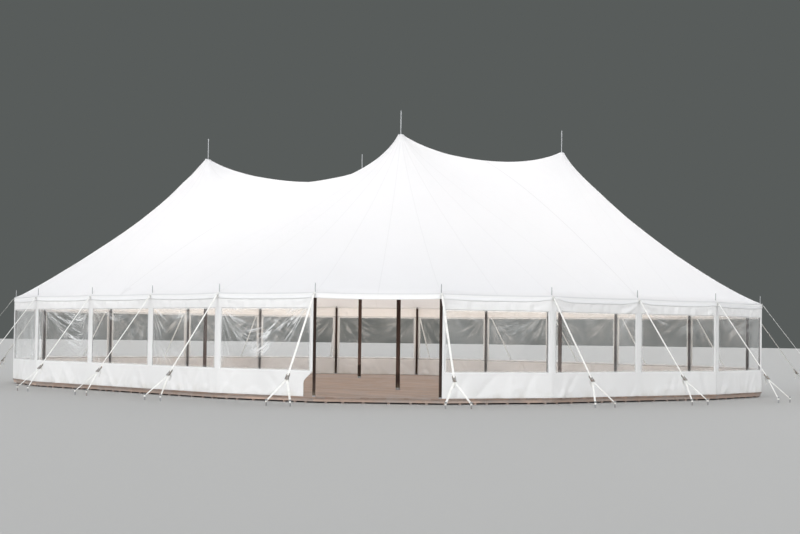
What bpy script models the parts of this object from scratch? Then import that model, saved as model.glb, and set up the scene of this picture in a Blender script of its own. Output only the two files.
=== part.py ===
"""Pole marquee: a white tensioned roof on four centre poles and a ring of side poles,
clear-window walls, strap guys to paired stakes, and a low timber platform.

Metres, +Z up. The origin is at ground level in the middle of the plan. The long axis
of the plan is X, and the open entrance bay is in the rounded corner at +X, -Y.
"""
import math

import bmesh
import bpy
import numpy as np
from mathutils import Matrix, Vector

# Plan: straight sides between quarter-circle corners, each corner centred on a peak
LONG_BAY = 3.20
SHORT_BAY = 3.16
LONG_BAYS = 3
SHORT_BAYS = 2
CORNER_RADIUS = 5.91
CORNER_BAYS = 3

# Heights
PLATFORM_HEIGHT = 0.15
WALL_HEIGHT = 2.38
VALANCE_HEIGHT = 0.14
PEAK_RISE = 4.52

# Roof sheet and its tension
ROOF_THICKNESS = 0.006
HOOP_SHARE = 0.52
TOP_HOOP_SHARE = 1.43
RIDGE_WEBBING = 5.8
PEAK_RING_RADIUS = 0.075
ROOF_RINGS = 8
RING_CROWDING = 1.35
EAVE_STEPS = 2
TOP_STEPS = 3

# Poles and the steel spikes that pass through the roof
SIDE_POLE_RADIUS = 0.040
CENTRE_POLE_RADIUS = 0.060
SIDE_SPIKE_RADIUS = 0.011
SIDE_SPIKE_HEIGHT = 0.24
CENTRE_SPIKE_RADIUS = 0.015
CENTRE_SPIKE_HEIGHT = 0.68
SPIKE_CLEARANCE = 0.004
SPIKE_TIP = 0.03
POLE_SIDES = 12

# Walls
WALL_THICKNESS = 0.004
VINYL_THICKNESS = 0.003
BAND_HALF_WIDTH = 0.10
SKIRT_HEIGHT = 0.62
HEADER_HEIGHT = 0.24
VINYL_LAP = 0.04
VINYL_END_MARGIN = 0.03

# Guys
BELT_THICKNESS = 0.004
BELT_WIDTH = 0.040
BELT_DROP = 0.020
PAD_DEPTH = 0.028
PAD_WIDTH = 0.070
PAD_HEIGHT = 0.050
STRAP_WIDTH = 0.050
STRAP_THICKNESS = 0.006
RATCHET_OUT = 1.56
RATCHET_HEIGHT = 0.68
RATCHET_LENGTH = 0.20
RATCHET_WIDTH = 0.060
RATCHET_DEPTH = 0.050
STAKE_OUT = 2.10
STAKE_SPREAD = 0.30
STAKE_RADIUS = 0.018
STAKE_HEIGHT = 0.16
STAKE_SIDES = 8
STAKE_STRAP_HEIGHT = 0.11

# Platform
BOARD_THICKNESS = 0.040
FRAME_INSET = 0.030
RIM_WIDTH = 0.050
JOIST_WIDTH = 0.050
JOIST_SPACING = 1.20

# Clearance between pieces that touch
GAP = 0.0003

# Derived places
PEAK_X = LONG_BAY * LONG_BAYS / 2
PEAK_Y = SHORT_BAY * SHORT_BAYS / 2
VINYL_OUTER = SIDE_POLE_RADIUS + GAP + VINYL_THICKNESS
WALL_OUTER = VINYL_OUTER + GAP + WALL_THICKNESS
ROOF_OUTER = WALL_OUTER + GAP + ROOF_THICKNESS
BELT_OUTER = ROOF_OUTER + GAP + BELT_THICKNESS
EAVE_HEIGHT = PLATFORM_HEIGHT + WALL_HEIGHT
EDGE_HEIGHT = EAVE_HEIGHT + VALANCE_HEIGHT
PEAK_HEIGHT = EDGE_HEIGHT + PEAK_RISE
HEM_HEIGHT = PLATFORM_HEIGHT + GAP
WALL_TOP = EDGE_HEIGHT - 1.25 * ROOF_THICKNESS
SIDE_POLE_TOP = EDGE_HEIGHT - 1.1 * ROOF_THICKNESS - GAP
CENTRE_POLE_TOP = PEAK_HEIGHT - ROOF_THICKNESS - GAP

# The entrance is the bay after this pole, counted anticlockwise from the front side's end
ENTRANCE_POLE = 1


def clear_scene():
    for item in list(bpy.data.objects):
        bpy.data.objects.remove(item, do_unlink=True)


def new_collection(name):
    group = bpy.data.collections.new(name)
    bpy.context.scene.collection.children.link(group)
    return group


def material(name, colour, roughness, metallic=0.0, alpha=1.0):
    finish = bpy.data.materials.new(name)
    finish.use_nodes = True
    shader = finish.node_tree.nodes["Principled BSDF"]
    shader.inputs["Base Color"].default_value = (*colour, 1.0)
    shader.inputs["Roughness"].default_value = roughness
    shader.inputs["Metallic"].default_value = metallic
    shader.inputs["Alpha"].default_value = alpha
    finish.diffuse_color = (*colour, alpha)
    return finish


def add_object(name, data, group, finish):
    item = bpy.data.objects.new(name, data)
    group.objects.link(item)
    if finish is not None and not data.materials:
        data.materials.append(finish)
    return item


def hide_cutter(item):
    item.hide_render = True
    item.display_type = "WIRE"


def pole_plan():
    """Centres of the side poles, anticlockwise from the end of the front side."""
    corners = [
        (PEAK_X, -PEAK_Y, -90, SHORT_BAY, SHORT_BAYS),
        (PEAK_X, PEAK_Y, 0, LONG_BAY, LONG_BAYS),
        (-PEAK_X, PEAK_Y, 90, SHORT_BAY, SHORT_BAYS),
        (-PEAK_X, -PEAK_Y, 180, LONG_BAY, LONG_BAYS),
    ]
    plan = []
    for centre_x, centre_y, start, bay, bays in corners:
        centre = Vector((centre_x, centre_y))
        for step in range(CORNER_BAYS + 1):
            angle = math.radians(start + 90 * step / CORNER_BAYS)
            plan.append(centre + CORNER_RADIUS * Vector((math.cos(angle), math.sin(angle))))
        along = Vector((-math.sin(angle), math.cos(angle)))
        for step in range(1, bays):
            plan.append(plan[-1] + bay * along)
    return plan


POLES = pole_plan()
POLE_COUNT = len(POLES)


def bay_direction(index):
    return (POLES[(index + 1) % POLE_COUNT] - POLES[index % POLE_COUNT]).normalized()


def outward_at(index):
    """Outward direction at a pole, and the mitre factor of the corner there."""
    before = bay_direction(index - 1)
    after = bay_direction(index)
    along = (before + after).normalized()
    mitre = 1 / along.dot(after)
    return Vector((along.y, -along.x)), mitre


def offset_corner(index, offset):
    """Corner of the wall line at a pole, moved outward by an offset."""
    outward, mitre = outward_at(index)
    return POLES[index % POLE_COUNT] + outward * offset * mitre


def plan_outline(offset):
    """Outline of the offset wall line, with only the corners where it turns."""
    turning = [index for index in range(POLE_COUNT) if outward_at(index)[1] > 1 + GAP]
    return [offset_corner(index, offset) for index in turning]


def bay_point(index, offset, distance):
    """Point on a bay of the offset wall line, from its first pole, or its last if negative."""
    if distance < 0:
        return offset_corner(index + 1, offset) + bay_direction(index) * distance
    return offset_corner(index, offset) + bay_direction(index) * distance


def end_setback(index, thickness):
    """How far a sheet stops short of a corner to clear the next sheet's inner side."""
    mitre = outward_at(index)[1]
    return GAP / 2 + thickness * math.sqrt(max(mitre**2 - 1, 0))


def strip_mesh(name, columns, levels, holes=()):
    """Open vertical surface through plan points, with cells left out as windows."""
    mesh = bpy.data.meshes.new(name)
    sheet = bmesh.new()
    grid = []
    for point in columns:
        grid.append([sheet.verts.new((point.x, point.y, level)) for level in levels])
    for column in range(len(columns) - 1):
        for row in range(len(levels) - 1):
            if (column, row) in holes:
                continue
            left = grid[column]
            right = grid[column + 1]
            sheet.faces.new((left[row], right[row], right[row + 1], left[row + 1]))
    loose = [vertex for vertex in sheet.verts if not vertex.link_faces]
    bmesh.ops.delete(sheet, geom=loose, context="VERTS")
    sheet.to_mesh(mesh)
    sheet.free()
    return mesh


def thicken(item, thickness):
    """Give an open surface its thickness on the inner side."""
    shell = item.modifiers.new("thickness", "SOLIDIFY")
    shell.thickness = thickness
    shell.offset = -1
    shell.use_even_offset = True
    return shell


def boolean(item, operation, operand):
    cut = item.modifiers.new(operation.lower(), "BOOLEAN")
    cut.operation = operation
    cut.solver = "EXACT"
    cut.object = operand
    return cut


def evaluated_mesh(item, name):
    graph = bpy.context.evaluated_depsgraph_get()
    mesh = bpy.data.meshes.new_from_object(item.evaluated_get(graph))
    mesh.name = name
    return mesh


def turned(name, profile, group, finish):
    """Solid of revolution from a profile that runs down its outer side."""
    mesh = bpy.data.meshes.new(name)
    outline = bmesh.new()
    points = [outline.verts.new((radius, 0, height)) for radius, height in profile]
    for upper, lower in zip(points, points[1:]):
        outline.edges.new((upper, lower))
    outline.to_mesh(mesh)
    outline.free()
    item = add_object(name, mesh, group, finish)
    spin = item.modifiers.new("turn", "SCREW")
    spin.steps = POLE_SIDES
    spin.render_steps = POLE_SIDES
    spin.use_merge_vertices = True
    spin.merge_threshold = 0.0001
    return item


def pole_profile(radius, top, spike_radius, spike_top):
    return [
        (0, spike_top),
        (spike_radius, spike_top - SPIKE_TIP),
        (spike_radius, top),
        (radius, top),
        (radius, HEM_HEIGHT),
        (0, HEM_HEIGHT),
    ]


def make_side_poles(group, finish):
    profile = pole_profile(
        SIDE_POLE_RADIUS, SIDE_POLE_TOP, SIDE_SPIKE_RADIUS, EDGE_HEIGHT + SIDE_SPIKE_HEIGHT
    )
    pattern = turned("side_pole_01", profile, group, finish)
    pattern.location = (*POLES[0], 0)
    mesh = evaluated_mesh(pattern, "side_pole")
    pattern.modifiers.clear()
    pattern.data = mesh
    mesh.shade_smooth()
    mesh.set_sharp_from_angle(angle=math.radians(40))
    for index in range(1, POLE_COUNT):
        pole = add_object(f"side_pole_{index + 1:02d}", mesh, group, finish)
        pole.location = (*POLES[index], 0)


def make_centre_poles(group, finish):
    profile = pole_profile(
        CENTRE_POLE_RADIUS, CENTRE_POLE_TOP, CENTRE_SPIKE_RADIUS, PEAK_HEIGHT + CENTRE_SPIKE_HEIGHT
    )
    places = {
        "centre_pole_front": (PEAK_X, -PEAK_Y),
        "centre_pole_right": (PEAK_X, PEAK_Y),
        "centre_pole_back": (-PEAK_X, PEAK_Y),
        "centre_pole_left": (-PEAK_X, -PEAK_Y),
    }
    for name, place in places.items():
        pole = turned(name, profile, group, finish)
        pole.location = (*place, 0)


def segment(start, end, steps):
    return [start.lerp(end, step / steps) for step in range(steps)]


def quadrant_outline():
    """Edge of a quarter of the roof, anticlockwise from the X axis, and its eave flags."""
    corners = [offset_corner(index, ROOF_OUTER) for index in range(POLE_COUNT)]
    first = next(i for i, pole in enumerate(POLES) if abs(pole.y - PEAK_Y) < GAP and pole.x > 0)
    seam = GAP / 2
    side_x = corners[first].x
    side_y = corners[first + CORNER_BAYS].y
    points = []
    eave = []

    def add(start, end, steps, on_eave):
        points.extend(segment(start, end, steps))
        eave.extend([on_eave] * steps)

    straight = [Vector((side_x, 0))]
    half_side = PEAK_Y
    while half_side > SHORT_BAY + GAP:
        half_side -= SHORT_BAY
        straight.append(Vector((side_x, PEAK_Y - half_side)))
    straight.append(corners[first])
    for start, end in zip(straight, straight[1:]):
        add(start, end, EAVE_STEPS, True)
    for step in range(CORNER_BAYS):
        add(corners[first + step], corners[first + step + 1], EAVE_STEPS, True)
    last = corners[first + CORNER_BAYS]
    place = last
    while place.x - LONG_BAY > seam:
        following = Vector((place.x - LONG_BAY, side_y))
        add(place, following, EAVE_STEPS, True)
        place = following
    add(place, Vector((seam, side_y)), EAVE_STEPS, True)
    points.append(Vector((seam, side_y)))
    eave.append(True)
    inner = segment(Vector((seam, side_y)), Vector((seam, PEAK_Y)), TOP_STEPS)[1:]
    inner += segment(Vector((seam, PEAK_Y)), Vector((seam, 0)), TOP_STEPS)
    inner += segment(Vector((seam, 0)), Vector((PEAK_X, 0)), TOP_STEPS)
    inner += segment(Vector((PEAK_X, 0)), Vector((side_x, 0)), TOP_STEPS)
    points.extend(inner)
    eave.extend([False] * len(inner))
    return points, eave


def stiffness(plan, faces, peak):
    """Pull between neighbouring points of the sheet, stronger nearer the peak."""
    pull = np.zeros((len(plan), len(plan)))
    for face in faces:
        corner = plan[face]
        middle = corner.mean(axis=0)
        reach = max(np.hypot(*(middle - peak)), PEAK_RING_RADIUS)
        between_peaks = middle[0] < peak[0] and middle[1] < peak[1]
        share = TOP_HOOP_SHARE if between_peaks else HOOP_SHARE
        edges = corner[[2, 0, 1]] - corner[[1, 2, 0]]
        area = abs(edges[0][0] * edges[1][1] - edges[0][1] * edges[1][0]) / 2
        pull[np.ix_(face, face)] += reach ** (share - 1) * (edges @ edges.T) / (4 * area)
    return pull


def tension_heights(spokes, eave, rings):
    """Heights of the roof sheet over spokes of plan points, in balance under its pull."""
    count = len(spokes)
    plan = np.array([tuple(point) for spoke in spokes for point in spoke])
    faces = []
    for spoke in range(count):
        here = spoke * (rings + 1)
        beside = (spoke + 1) % count * (rings + 1)
        for ring in range(rings):
            faces.append([here + ring, here + ring + 1, beside + ring + 1])
            faces.append([here + ring, beside + ring + 1, beside + ring])
    peak = np.array((PEAK_X, PEAK_Y))
    pull = stiffness(plan, faces, peak)
    ridge = next(i for i, s in enumerate(spokes) if abs(s[-1].x - PEAK_X) < GAP and s[-1].y < PEAK_Y)
    for ring in range(rings):
        upper = ridge * (rings + 1) + ring
        length = np.hypot(*(plan[upper] - plan[upper + 1]))
        webbing = RIDGE_WEBBING / length
        pull[upper, upper] += webbing
        pull[upper + 1, upper + 1] += webbing
        pull[upper, upper + 1] -= webbing
        pull[upper + 1, upper] -= webbing
    held = {spoke * (rings + 1): PEAK_HEIGHT for spoke in range(count)}
    for spoke in range(count):
        if eave[spoke]:
            held[spoke * (rings + 1) + rings] = EDGE_HEIGHT
    fixed = np.array(sorted(held))
    free = np.setdiff1d(np.arange(len(plan)), fixed)
    height = np.zeros(len(plan))
    height[fixed] = [held[index] for index in fixed]
    load = -pull[np.ix_(free, fixed)] @ height[fixed]
    height[free] = np.linalg.solve(pull[np.ix_(free, free)], load)
    return height.reshape(count, rings + 1)


def roof_quarter_mesh():
    """Outer surface of a quarter of the roof: peak ring, slope and hanging valance."""
    outline, eave = quadrant_outline()
    peak = Vector((PEAK_X, PEAK_Y))
    spokes = []
    for edge in outline:
        direction = (edge - peak).normalized()
        reach = (edge - peak).length
        steps = [(ring / ROOF_RINGS) ** RING_CROWDING for ring in range(ROOF_RINGS + 1)]
        spokes.append(
            [peak + direction * (PEAK_RING_RADIUS + (reach - PEAK_RING_RADIUS) * s) for s in steps]
        )
    heights = tension_heights(spokes, eave, ROOF_RINGS)
    sheet = bmesh.new()
    rows = []
    for spoke, levels, on_eave, edge in zip(spokes, heights, eave, outline):
        direction = (edge - peak).normalized()
        hole = peak + direction * (CENTRE_SPIKE_RADIUS + SPIKE_CLEARANCE)
        row = [sheet.verts.new((hole.x, hole.y, PEAK_HEIGHT))]
        row += [sheet.verts.new((p.x, p.y, z)) for p, z in zip(spoke, levels)]
        if on_eave:
            row.append(sheet.verts.new((edge.x, edge.y, EAVE_HEIGHT)))
        rows.append(row)
    for here, beside in zip(rows, rows[1:] + rows[:1]):
        for ring in range(min(len(here), len(beside)) - 1):
            sheet.faces.new((here[ring], here[ring + 1], beside[ring + 1], beside[ring]))
    mesh = bpy.data.meshes.new("roof_half")
    sheet.to_mesh(mesh)
    sheet.free()
    return mesh


def spike_hole_cutter(group):
    """Round cutters where the side poles' spikes pass through the roof."""
    mesh = bpy.data.meshes.new("spike_holes")
    cutters = bmesh.new()
    for place in POLES:
        bmesh.ops.create_cone(
            cutters,
            cap_ends=True,
            segments=STAKE_SIDES,
            radius1=SIDE_SPIKE_RADIUS + SPIKE_CLEARANCE,
            radius2=SIDE_SPIKE_RADIUS + SPIKE_CLEARANCE,
            depth=VALANCE_HEIGHT,
            matrix=Matrix.Translation((*place, EDGE_HEIGHT)),
        )
    cutters.to_mesh(mesh)
    cutters.free()
    cutter = add_object("spike_holes", mesh, group, None)
    hide_cutter(cutter)
    return cutter


def make_roof(group, cutter_group, finish):
    """Two halves laced across the middle, each a mirrored quarter with its thickness."""
    holes = spike_hole_cutter(cutter_group)
    mesh = roof_quarter_mesh()
    for name, turn in (("roof_right_half", 0), ("roof_left_half", math.pi)):
        half = add_object(name, mesh, group, finish)
        half.rotation_euler.z = turn
        mirror = half.modifiers.new("other_quarter", "MIRROR")
        mirror.use_axis = (False, True, False)
        mirror.merge_threshold = 0.0001
        thicken(half, ROOF_THICKNESS)
        boolean(half, "DIFFERENCE", holes)


def wall_section(name, first_bay, bays, group, finish):
    """White wall fabric over a run of bays, with its window openings left out."""
    columns = []
    holes = set()
    end_bay = first_bay + bays - 1
    for bay in range(first_bay, first_bay + bays):
        start = end_setback(bay, WALL_THICKNESS) if bay == first_bay else 0
        columns.append(bay_point(bay, WALL_OUTER, start))
        columns.append(bay_point(bay, WALL_OUTER, BAND_HALF_WIDTH))
        columns.append(bay_point(bay, WALL_OUTER, -BAND_HALF_WIDTH))
        holes.add((len(columns) - 2, 1))
    columns.append(bay_point(end_bay, WALL_OUTER, -end_setback(end_bay + 1, WALL_THICKNESS)))
    levels = (HEM_HEIGHT, HEM_HEIGHT + SKIRT_HEIGHT, EAVE_HEIGHT - HEADER_HEIGHT, WALL_TOP)
    wall = add_object(name, strip_mesh(name, columns, levels, holes), group, finish)
    thicken(wall, WALL_THICKNESS)


def window_section(name, first_bay, bays, group, finish):
    """Clear sheet behind the windows of a run of bays."""
    columns = [bay_point(first_bay, VINYL_OUTER, VINYL_END_MARGIN)]
    for bay in range(first_bay + 1, first_bay + bays):
        columns.append(offset_corner(bay, VINYL_OUTER))
    columns.append(bay_point(first_bay + bays - 1, VINYL_OUTER, -VINYL_END_MARGIN))
    levels = (HEM_HEIGHT + SKIRT_HEIGHT - VINYL_LAP, EAVE_HEIGHT - HEADER_HEIGHT + VINYL_LAP)
    window = add_object(name, strip_mesh(name, columns, levels), group, finish)
    thicken(window, VINYL_THICKNESS)


def make_walls(group, fabric, vinyl):
    """Seven wall sections and four window sheets, anticlockwise from the entrance."""
    lengths = (
        ("wall_entrance_right", 1 + SHORT_BAYS),
        ("wall_right_corner", CORNER_BAYS),
        ("wall_back", LONG_BAYS),
        ("wall_back_corner", CORNER_BAYS),
        ("wall_left_end", SHORT_BAYS),
        ("wall_left_corner", CORNER_BAYS),
        ("wall_entrance_left", LONG_BAYS + 1),
    )
    bay = ENTRANCE_POLE + 1
    starts = {}
    for name, bays in lengths:
        starts[name] = bay
        wall_section(name, bay, bays, group, fabric)
        bay += bays
    sheets = (
        ("windows_right", "wall_entrance_right", "wall_back"),
        ("windows_back", "wall_back", "wall_back_corner"),
        ("windows_left", "wall_back_corner", "wall_left_corner"),
        ("windows_front", "wall_left_corner", None),
    )
    for name, first, following in sheets:
        end = starts[following] if following else bay
        window_section(name, starts[first], end - starts[first], group, vinyl)


def box_between(start, end, width, thickness, name, group):
    """Flat bar from one point to another, its width level."""
    along = end - start
    bpy.ops.mesh.primitive_cube_add(size=1)
    bar = bpy.context.object
    bar.name = name
    bar.data.transform(Matrix.Diagonal((width, thickness, along.length, 1)))
    direction = along.normalized()
    level = Vector((0, 1, 0)) - direction * direction.y
    level.normalize()
    through = direction.cross(level)
    turn = Matrix((level, through, direction)).transposed().to_4x4()
    bar.data.transform(Matrix.Translation((start + end) / 2) @ turn)
    move_to(bar, group)
    return bar


def move_to(item, group):
    for owner in list(item.users_collection):
        owner.objects.unlink(item)
    group.objects.link(item)
    hide_cutter(item)


def upright_stake(across, name, group):
    bpy.ops.mesh.primitive_cylinder_add(vertices=STAKE_SIDES, radius=STAKE_RADIUS, depth=STAKE_HEIGHT)
    stake = bpy.context.object
    stake.name = name
    stake.data.transform(Matrix.Translation((STAKE_OUT, across, STAKE_HEIGHT / 2)))
    move_to(stake, group)
    return stake


def guy_pattern(group):
    """One guy: pad at the eave, strap, ratchet, two legs and their stakes.

    Local X is outward from the pole's centre, and the stakes stand on the ground.
    """
    belt_middle = BELT_OUTER - BELT_THICKNESS * 0.3
    pad_height = EDGE_HEIGHT - BELT_DROP - BELT_WIDTH / 2
    pad_from = Vector((belt_middle, 0, pad_height))
    pad_to = Vector((belt_middle + PAD_DEPTH, 0, pad_height))
    top = pad_from.lerp(pad_to, 0.5)
    ratchet = Vector((RATCHET_OUT, 0, RATCHET_HEIGHT))
    slope = (ratchet - top).normalized()
    ratchet_top = ratchet - slope * RATCHET_LENGTH / 2
    ratchet_end = ratchet + slope * RATCHET_LENGTH / 2
    guy = box_between(top, ratchet, STRAP_WIDTH, STRAP_THICKNESS, "guy", group)
    pieces = [
        box_between(pad_from, pad_to, PAD_WIDTH, PAD_HEIGHT, "guy_pad", group),
        box_between(ratchet_top, ratchet_end, RATCHET_WIDTH, RATCHET_DEPTH, "guy_ratchet", group),
    ]
    leg_top = ratchet + slope * RATCHET_LENGTH / 4
    for side in (-1, 1):
        foot = Vector((STAKE_OUT, side * STAKE_SPREAD, STAKE_STRAP_HEIGHT))
        pieces.append(box_between(leg_top, foot, STRAP_WIDTH, STRAP_THICKNESS, "guy_leg", group))
        pieces.append(upright_stake(side * STAKE_SPREAD, "guy_stake", group))
    for piece in pieces:
        boolean(guy, "UNION", piece)
    mesh = evaluated_mesh(guy, "guy_pattern")
    for piece in pieces + [guy]:
        bpy.data.objects.remove(piece, do_unlink=True)
    return mesh


def guy_group(name, first_pole, poles, pattern, group, cutter_group, finish):
    """A run of the eave belt with the guys that it carries, joined as one piece."""
    last_pole = first_pole + poles - 1
    columns = [bay_point(first_pole - 1, BELT_OUTER, -LONG_BAY / 2 + GAP)]
    for pole in range(first_pole, last_pole + 1):
        columns.append(offset_corner(pole, BELT_OUTER))
    half_bay = (offset_corner(last_pole + 1, BELT_OUTER) - offset_corner(last_pole, BELT_OUTER)).length
    columns.append(bay_point(last_pole, BELT_OUTER, half_bay - LONG_BAY / 2))
    top = EDGE_HEIGHT - BELT_DROP
    belt = add_object(name, strip_mesh(name, columns, (top - BELT_WIDTH, top)), group, finish)
    thicken(belt, BELT_THICKNESS)
    joined = bmesh.new()
    for pole in range(first_pole, last_pole + 1):
        outward, mitre = outward_at(pole)
        place = POLES[pole % POLE_COUNT] + outward * BELT_OUTER * (mitre - 1)
        turn = Matrix.Rotation(math.atan2(outward.y, outward.x), 4, "Z")
        copy = pattern.copy()
        copy.transform(Matrix.Translation((*place, 0)) @ turn)
        joined.from_mesh(copy)
        bpy.data.meshes.remove(copy)
    mesh = bpy.data.meshes.new(name + "_straps")
    joined.to_mesh(mesh)
    joined.free()
    straps = add_object(name + "_straps", mesh, cutter_group, None)
    hide_cutter(straps)
    boolean(belt, "UNION", straps)


def make_guys(group, cutter_group, finish):
    pattern = guy_pattern(cutter_group)
    right_poles = SHORT_BAYS + CORNER_BAYS
    long_poles = LONG_BAYS + CORNER_BAYS
    first = ENTRANCE_POLE + 1
    for name, poles in (
        ("guys_right", right_poles),
        ("guys_back", long_poles),
        ("guys_left", right_poles),
        ("guys_front", long_poles),
    ):
        guy_group(name, first, poles, pattern, group, cutter_group, finish)
        first += poles
    bpy.data.meshes.remove(pattern)


def flat_plate(name, outline, bottom, thickness, group, finish):
    """Level plate from a flat outline, as one closed mesh."""
    curve = bpy.data.curves.new(name, "CURVE")
    curve.dimensions = "2D"
    curve.fill_mode = "BOTH"
    curve.extrude = thickness / 2
    spline = curve.splines.new("POLY")
    spline.points.add(len(outline) - 1)
    spline.use_cyclic_u = True
    for point, place in zip(spline.points, outline):
        point.co = (place.x, place.y, 0, 1)
    pattern = add_object(name + "_outline", curve, group, finish)
    mesh = evaluated_mesh(pattern, name)
    bpy.data.objects.remove(pattern, do_unlink=True)
    welded = bmesh.new()
    welded.from_mesh(mesh)
    bmesh.ops.remove_doubles(welded, verts=welded.verts, dist=0.0001)
    bmesh.ops.dissolve_limit(welded, angle_limit=0.01, verts=welded.verts, edges=welded.edges)
    welded.to_mesh(mesh)
    welded.free()
    plate = add_object(name, mesh, group, finish)
    plate.location.z = bottom + thickness / 2
    return plate


def width_at(x, offset):
    """Half width of the offset plan at a distance along it."""
    corners = plan_outline(offset)
    for start, end in zip(corners, corners[1:] + corners[:1]):
        if start.y > 0 and end.y > 0 and end.x <= x <= start.x:
            return start.y + (end.y - start.y) * (x - start.x) / (end.x - start.x)
    return 0.0


def joist_spaces(group):
    """Cutters for the spaces between the joists, inside the rim."""
    inner = WALL_OUTER - FRAME_INSET - RIM_WIDTH
    reach = offset_corner(SHORT_BAYS + CORNER_BAYS - 1, inner).x - GAP
    count = max(1, round(2 * reach / JOIST_SPACING))
    pitch = 2 * reach / count
    spaces = bmesh.new()
    for bay in range(count):
        left = -reach + bay * pitch + JOIST_WIDTH / 2
        right = left + pitch - JOIST_WIDTH
        half = min(width_at(left, inner), width_at(right, inner))
        shape = Matrix.Diagonal((right - left, 2 * half, PLATFORM_HEIGHT * 3, 1))
        bmesh.ops.create_cube(spaces, matrix=Matrix.Translation(((left + right) / 2, 0, 0)) @ shape)
    mesh = bpy.data.meshes.new("joist_spaces")
    spaces.to_mesh(mesh)
    spaces.free()
    cutter = add_object("joist_spaces", mesh, group, None)
    hide_cutter(cutter)
    return cutter


def make_platform(group, cutter_group, finish):
    """Boards trimmed to the wall line, on a frame of rim and joists."""
    edge = plan_outline(WALL_OUTER)
    rim = plan_outline(WALL_OUTER - FRAME_INSET)
    underside = PLATFORM_HEIGHT - BOARD_THICKNESS
    flat_plate("platform_boards", edge, underside, BOARD_THICKNESS, group, finish)
    frame = flat_plate("platform_frame", rim, 0, underside - GAP, group, finish)
    boolean(frame, "DIFFERENCE", joist_spaces(cutter_group))


def main():
    clear_scene()
    parts = new_collection("marquee_tent")
    cutters = new_collection("marquee_tent_cutters")
    white_roof = material("roof_fabric", (0.93, 0.93, 0.92), 0.55)
    white_wall = material("wall_fabric", (0.86, 0.87, 0.89), 0.55)
    clear_vinyl = material("clear_vinyl", (0.80, 0.84, 0.86), 0.12, alpha=0.3)
    dark_wood = material("pole_wood", (0.075, 0.040, 0.028), 0.50)
    strap_web = material("strap_webbing", (0.84, 0.82, 0.76), 0.80)
    deck_wood = material("platform_timber", (0.25, 0.19, 0.15), 0.75)
    make_platform(parts, cutters, deck_wood)
    make_centre_poles(parts, dark_wood)
    make_side_poles(parts, dark_wood)
    make_walls(parts, white_wall, clear_vinyl)
    make_roof(parts, cutters, white_roof)
    make_guys(parts, cutters, strap_web)


main()
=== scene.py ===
"""Pole marquee: canvas, windows, poles, guys and deck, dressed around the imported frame.

Metres, +Z up. The long side of the plan is X, the ground is Z = 0, and the open
entrance bay is in the rounded corner at +X, -Y. Poles and bays are counted
anticlockwise from the +X end of the front side, and bay 0 follows pole 0.
"""
import math

import bmesh
import bpy
import numpy as np
from bpy.props import FloatProperty, FloatVectorProperty, PointerProperty
from mathutils import Matrix, Vector, noise


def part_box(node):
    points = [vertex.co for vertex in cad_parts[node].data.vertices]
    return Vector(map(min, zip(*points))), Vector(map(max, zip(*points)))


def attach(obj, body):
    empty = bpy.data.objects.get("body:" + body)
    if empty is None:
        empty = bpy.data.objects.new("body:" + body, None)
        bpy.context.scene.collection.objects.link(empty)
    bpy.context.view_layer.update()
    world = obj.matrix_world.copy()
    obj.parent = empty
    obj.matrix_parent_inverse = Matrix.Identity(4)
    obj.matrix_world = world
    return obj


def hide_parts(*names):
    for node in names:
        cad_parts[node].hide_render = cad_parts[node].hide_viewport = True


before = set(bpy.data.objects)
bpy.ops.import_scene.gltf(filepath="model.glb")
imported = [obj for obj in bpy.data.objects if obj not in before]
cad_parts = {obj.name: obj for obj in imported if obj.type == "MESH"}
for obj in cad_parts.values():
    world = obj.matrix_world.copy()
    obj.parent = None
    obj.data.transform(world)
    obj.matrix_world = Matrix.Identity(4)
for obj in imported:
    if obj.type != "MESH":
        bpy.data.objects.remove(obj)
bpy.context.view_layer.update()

bl_info = {
    "name": "Pole marquee",
    "version": (1, 0, 0),
    "blender": (4, 5, 0),
    "location": "3D View > Sidebar > Marquee",
    "description": "Builds the canvas, windows, poles, guys and deck of a pole marquee",
    "category": "Add Mesh",
}

# Sizes and colours


def length(name, description, default):
    return FloatProperty(
        name=name, description=description, default=default, min=0.0, precision=4, unit="LENGTH"
    )


def share(name, description, default):
    return FloatProperty(
        name=name, description=description, default=default, min=0.0, max=2.0, subtype="FACTOR"
    )


def colour(name, description, default):
    return FloatVectorProperty(
        name=name, description=description, default=default, size=3, min=0.0, max=1.0, subtype="COLOR"
    )


def middle_of(node):
    low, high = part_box(node)
    return (low + high) / 2


def radius_of(node):
    low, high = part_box(node)
    return (high - low).x / 2


def nodes_of(kind):
    return sorted(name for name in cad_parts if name.startswith(kind))


SIDE_POLES, CENTRE_POLES = nodes_of("side_pole_"), nodes_of("centre_pole_")
POLES = [middle_of(name).to_2d() for name in SIDE_POLES]
POLE_COUNT = len(POLES)
PEAK = middle_of("centre_pole_right").to_2d()
PEAK_XY = np.array(tuple(PEAK))
ROOF_LOW, ROOF_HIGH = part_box("roof_right_half")
DECK_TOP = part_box("platform_boards")[1].z
EAVE, PEAK_TOP = ROOF_LOW.z, ROOF_HIGH.z
ENTRANCE_BAY = 1
# How far each sheet stands outward from the line through the poles' middles
ROOF_OUT = ROOF_HIGH.x - max(pole.x for pole in POLES)
BELT_OUT = ROOF_OUT + 0.0043
WALL_OUT = ROOF_OUT - 0.0063
WINDOW_OUT = WALL_OUT - 0.0043


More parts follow.
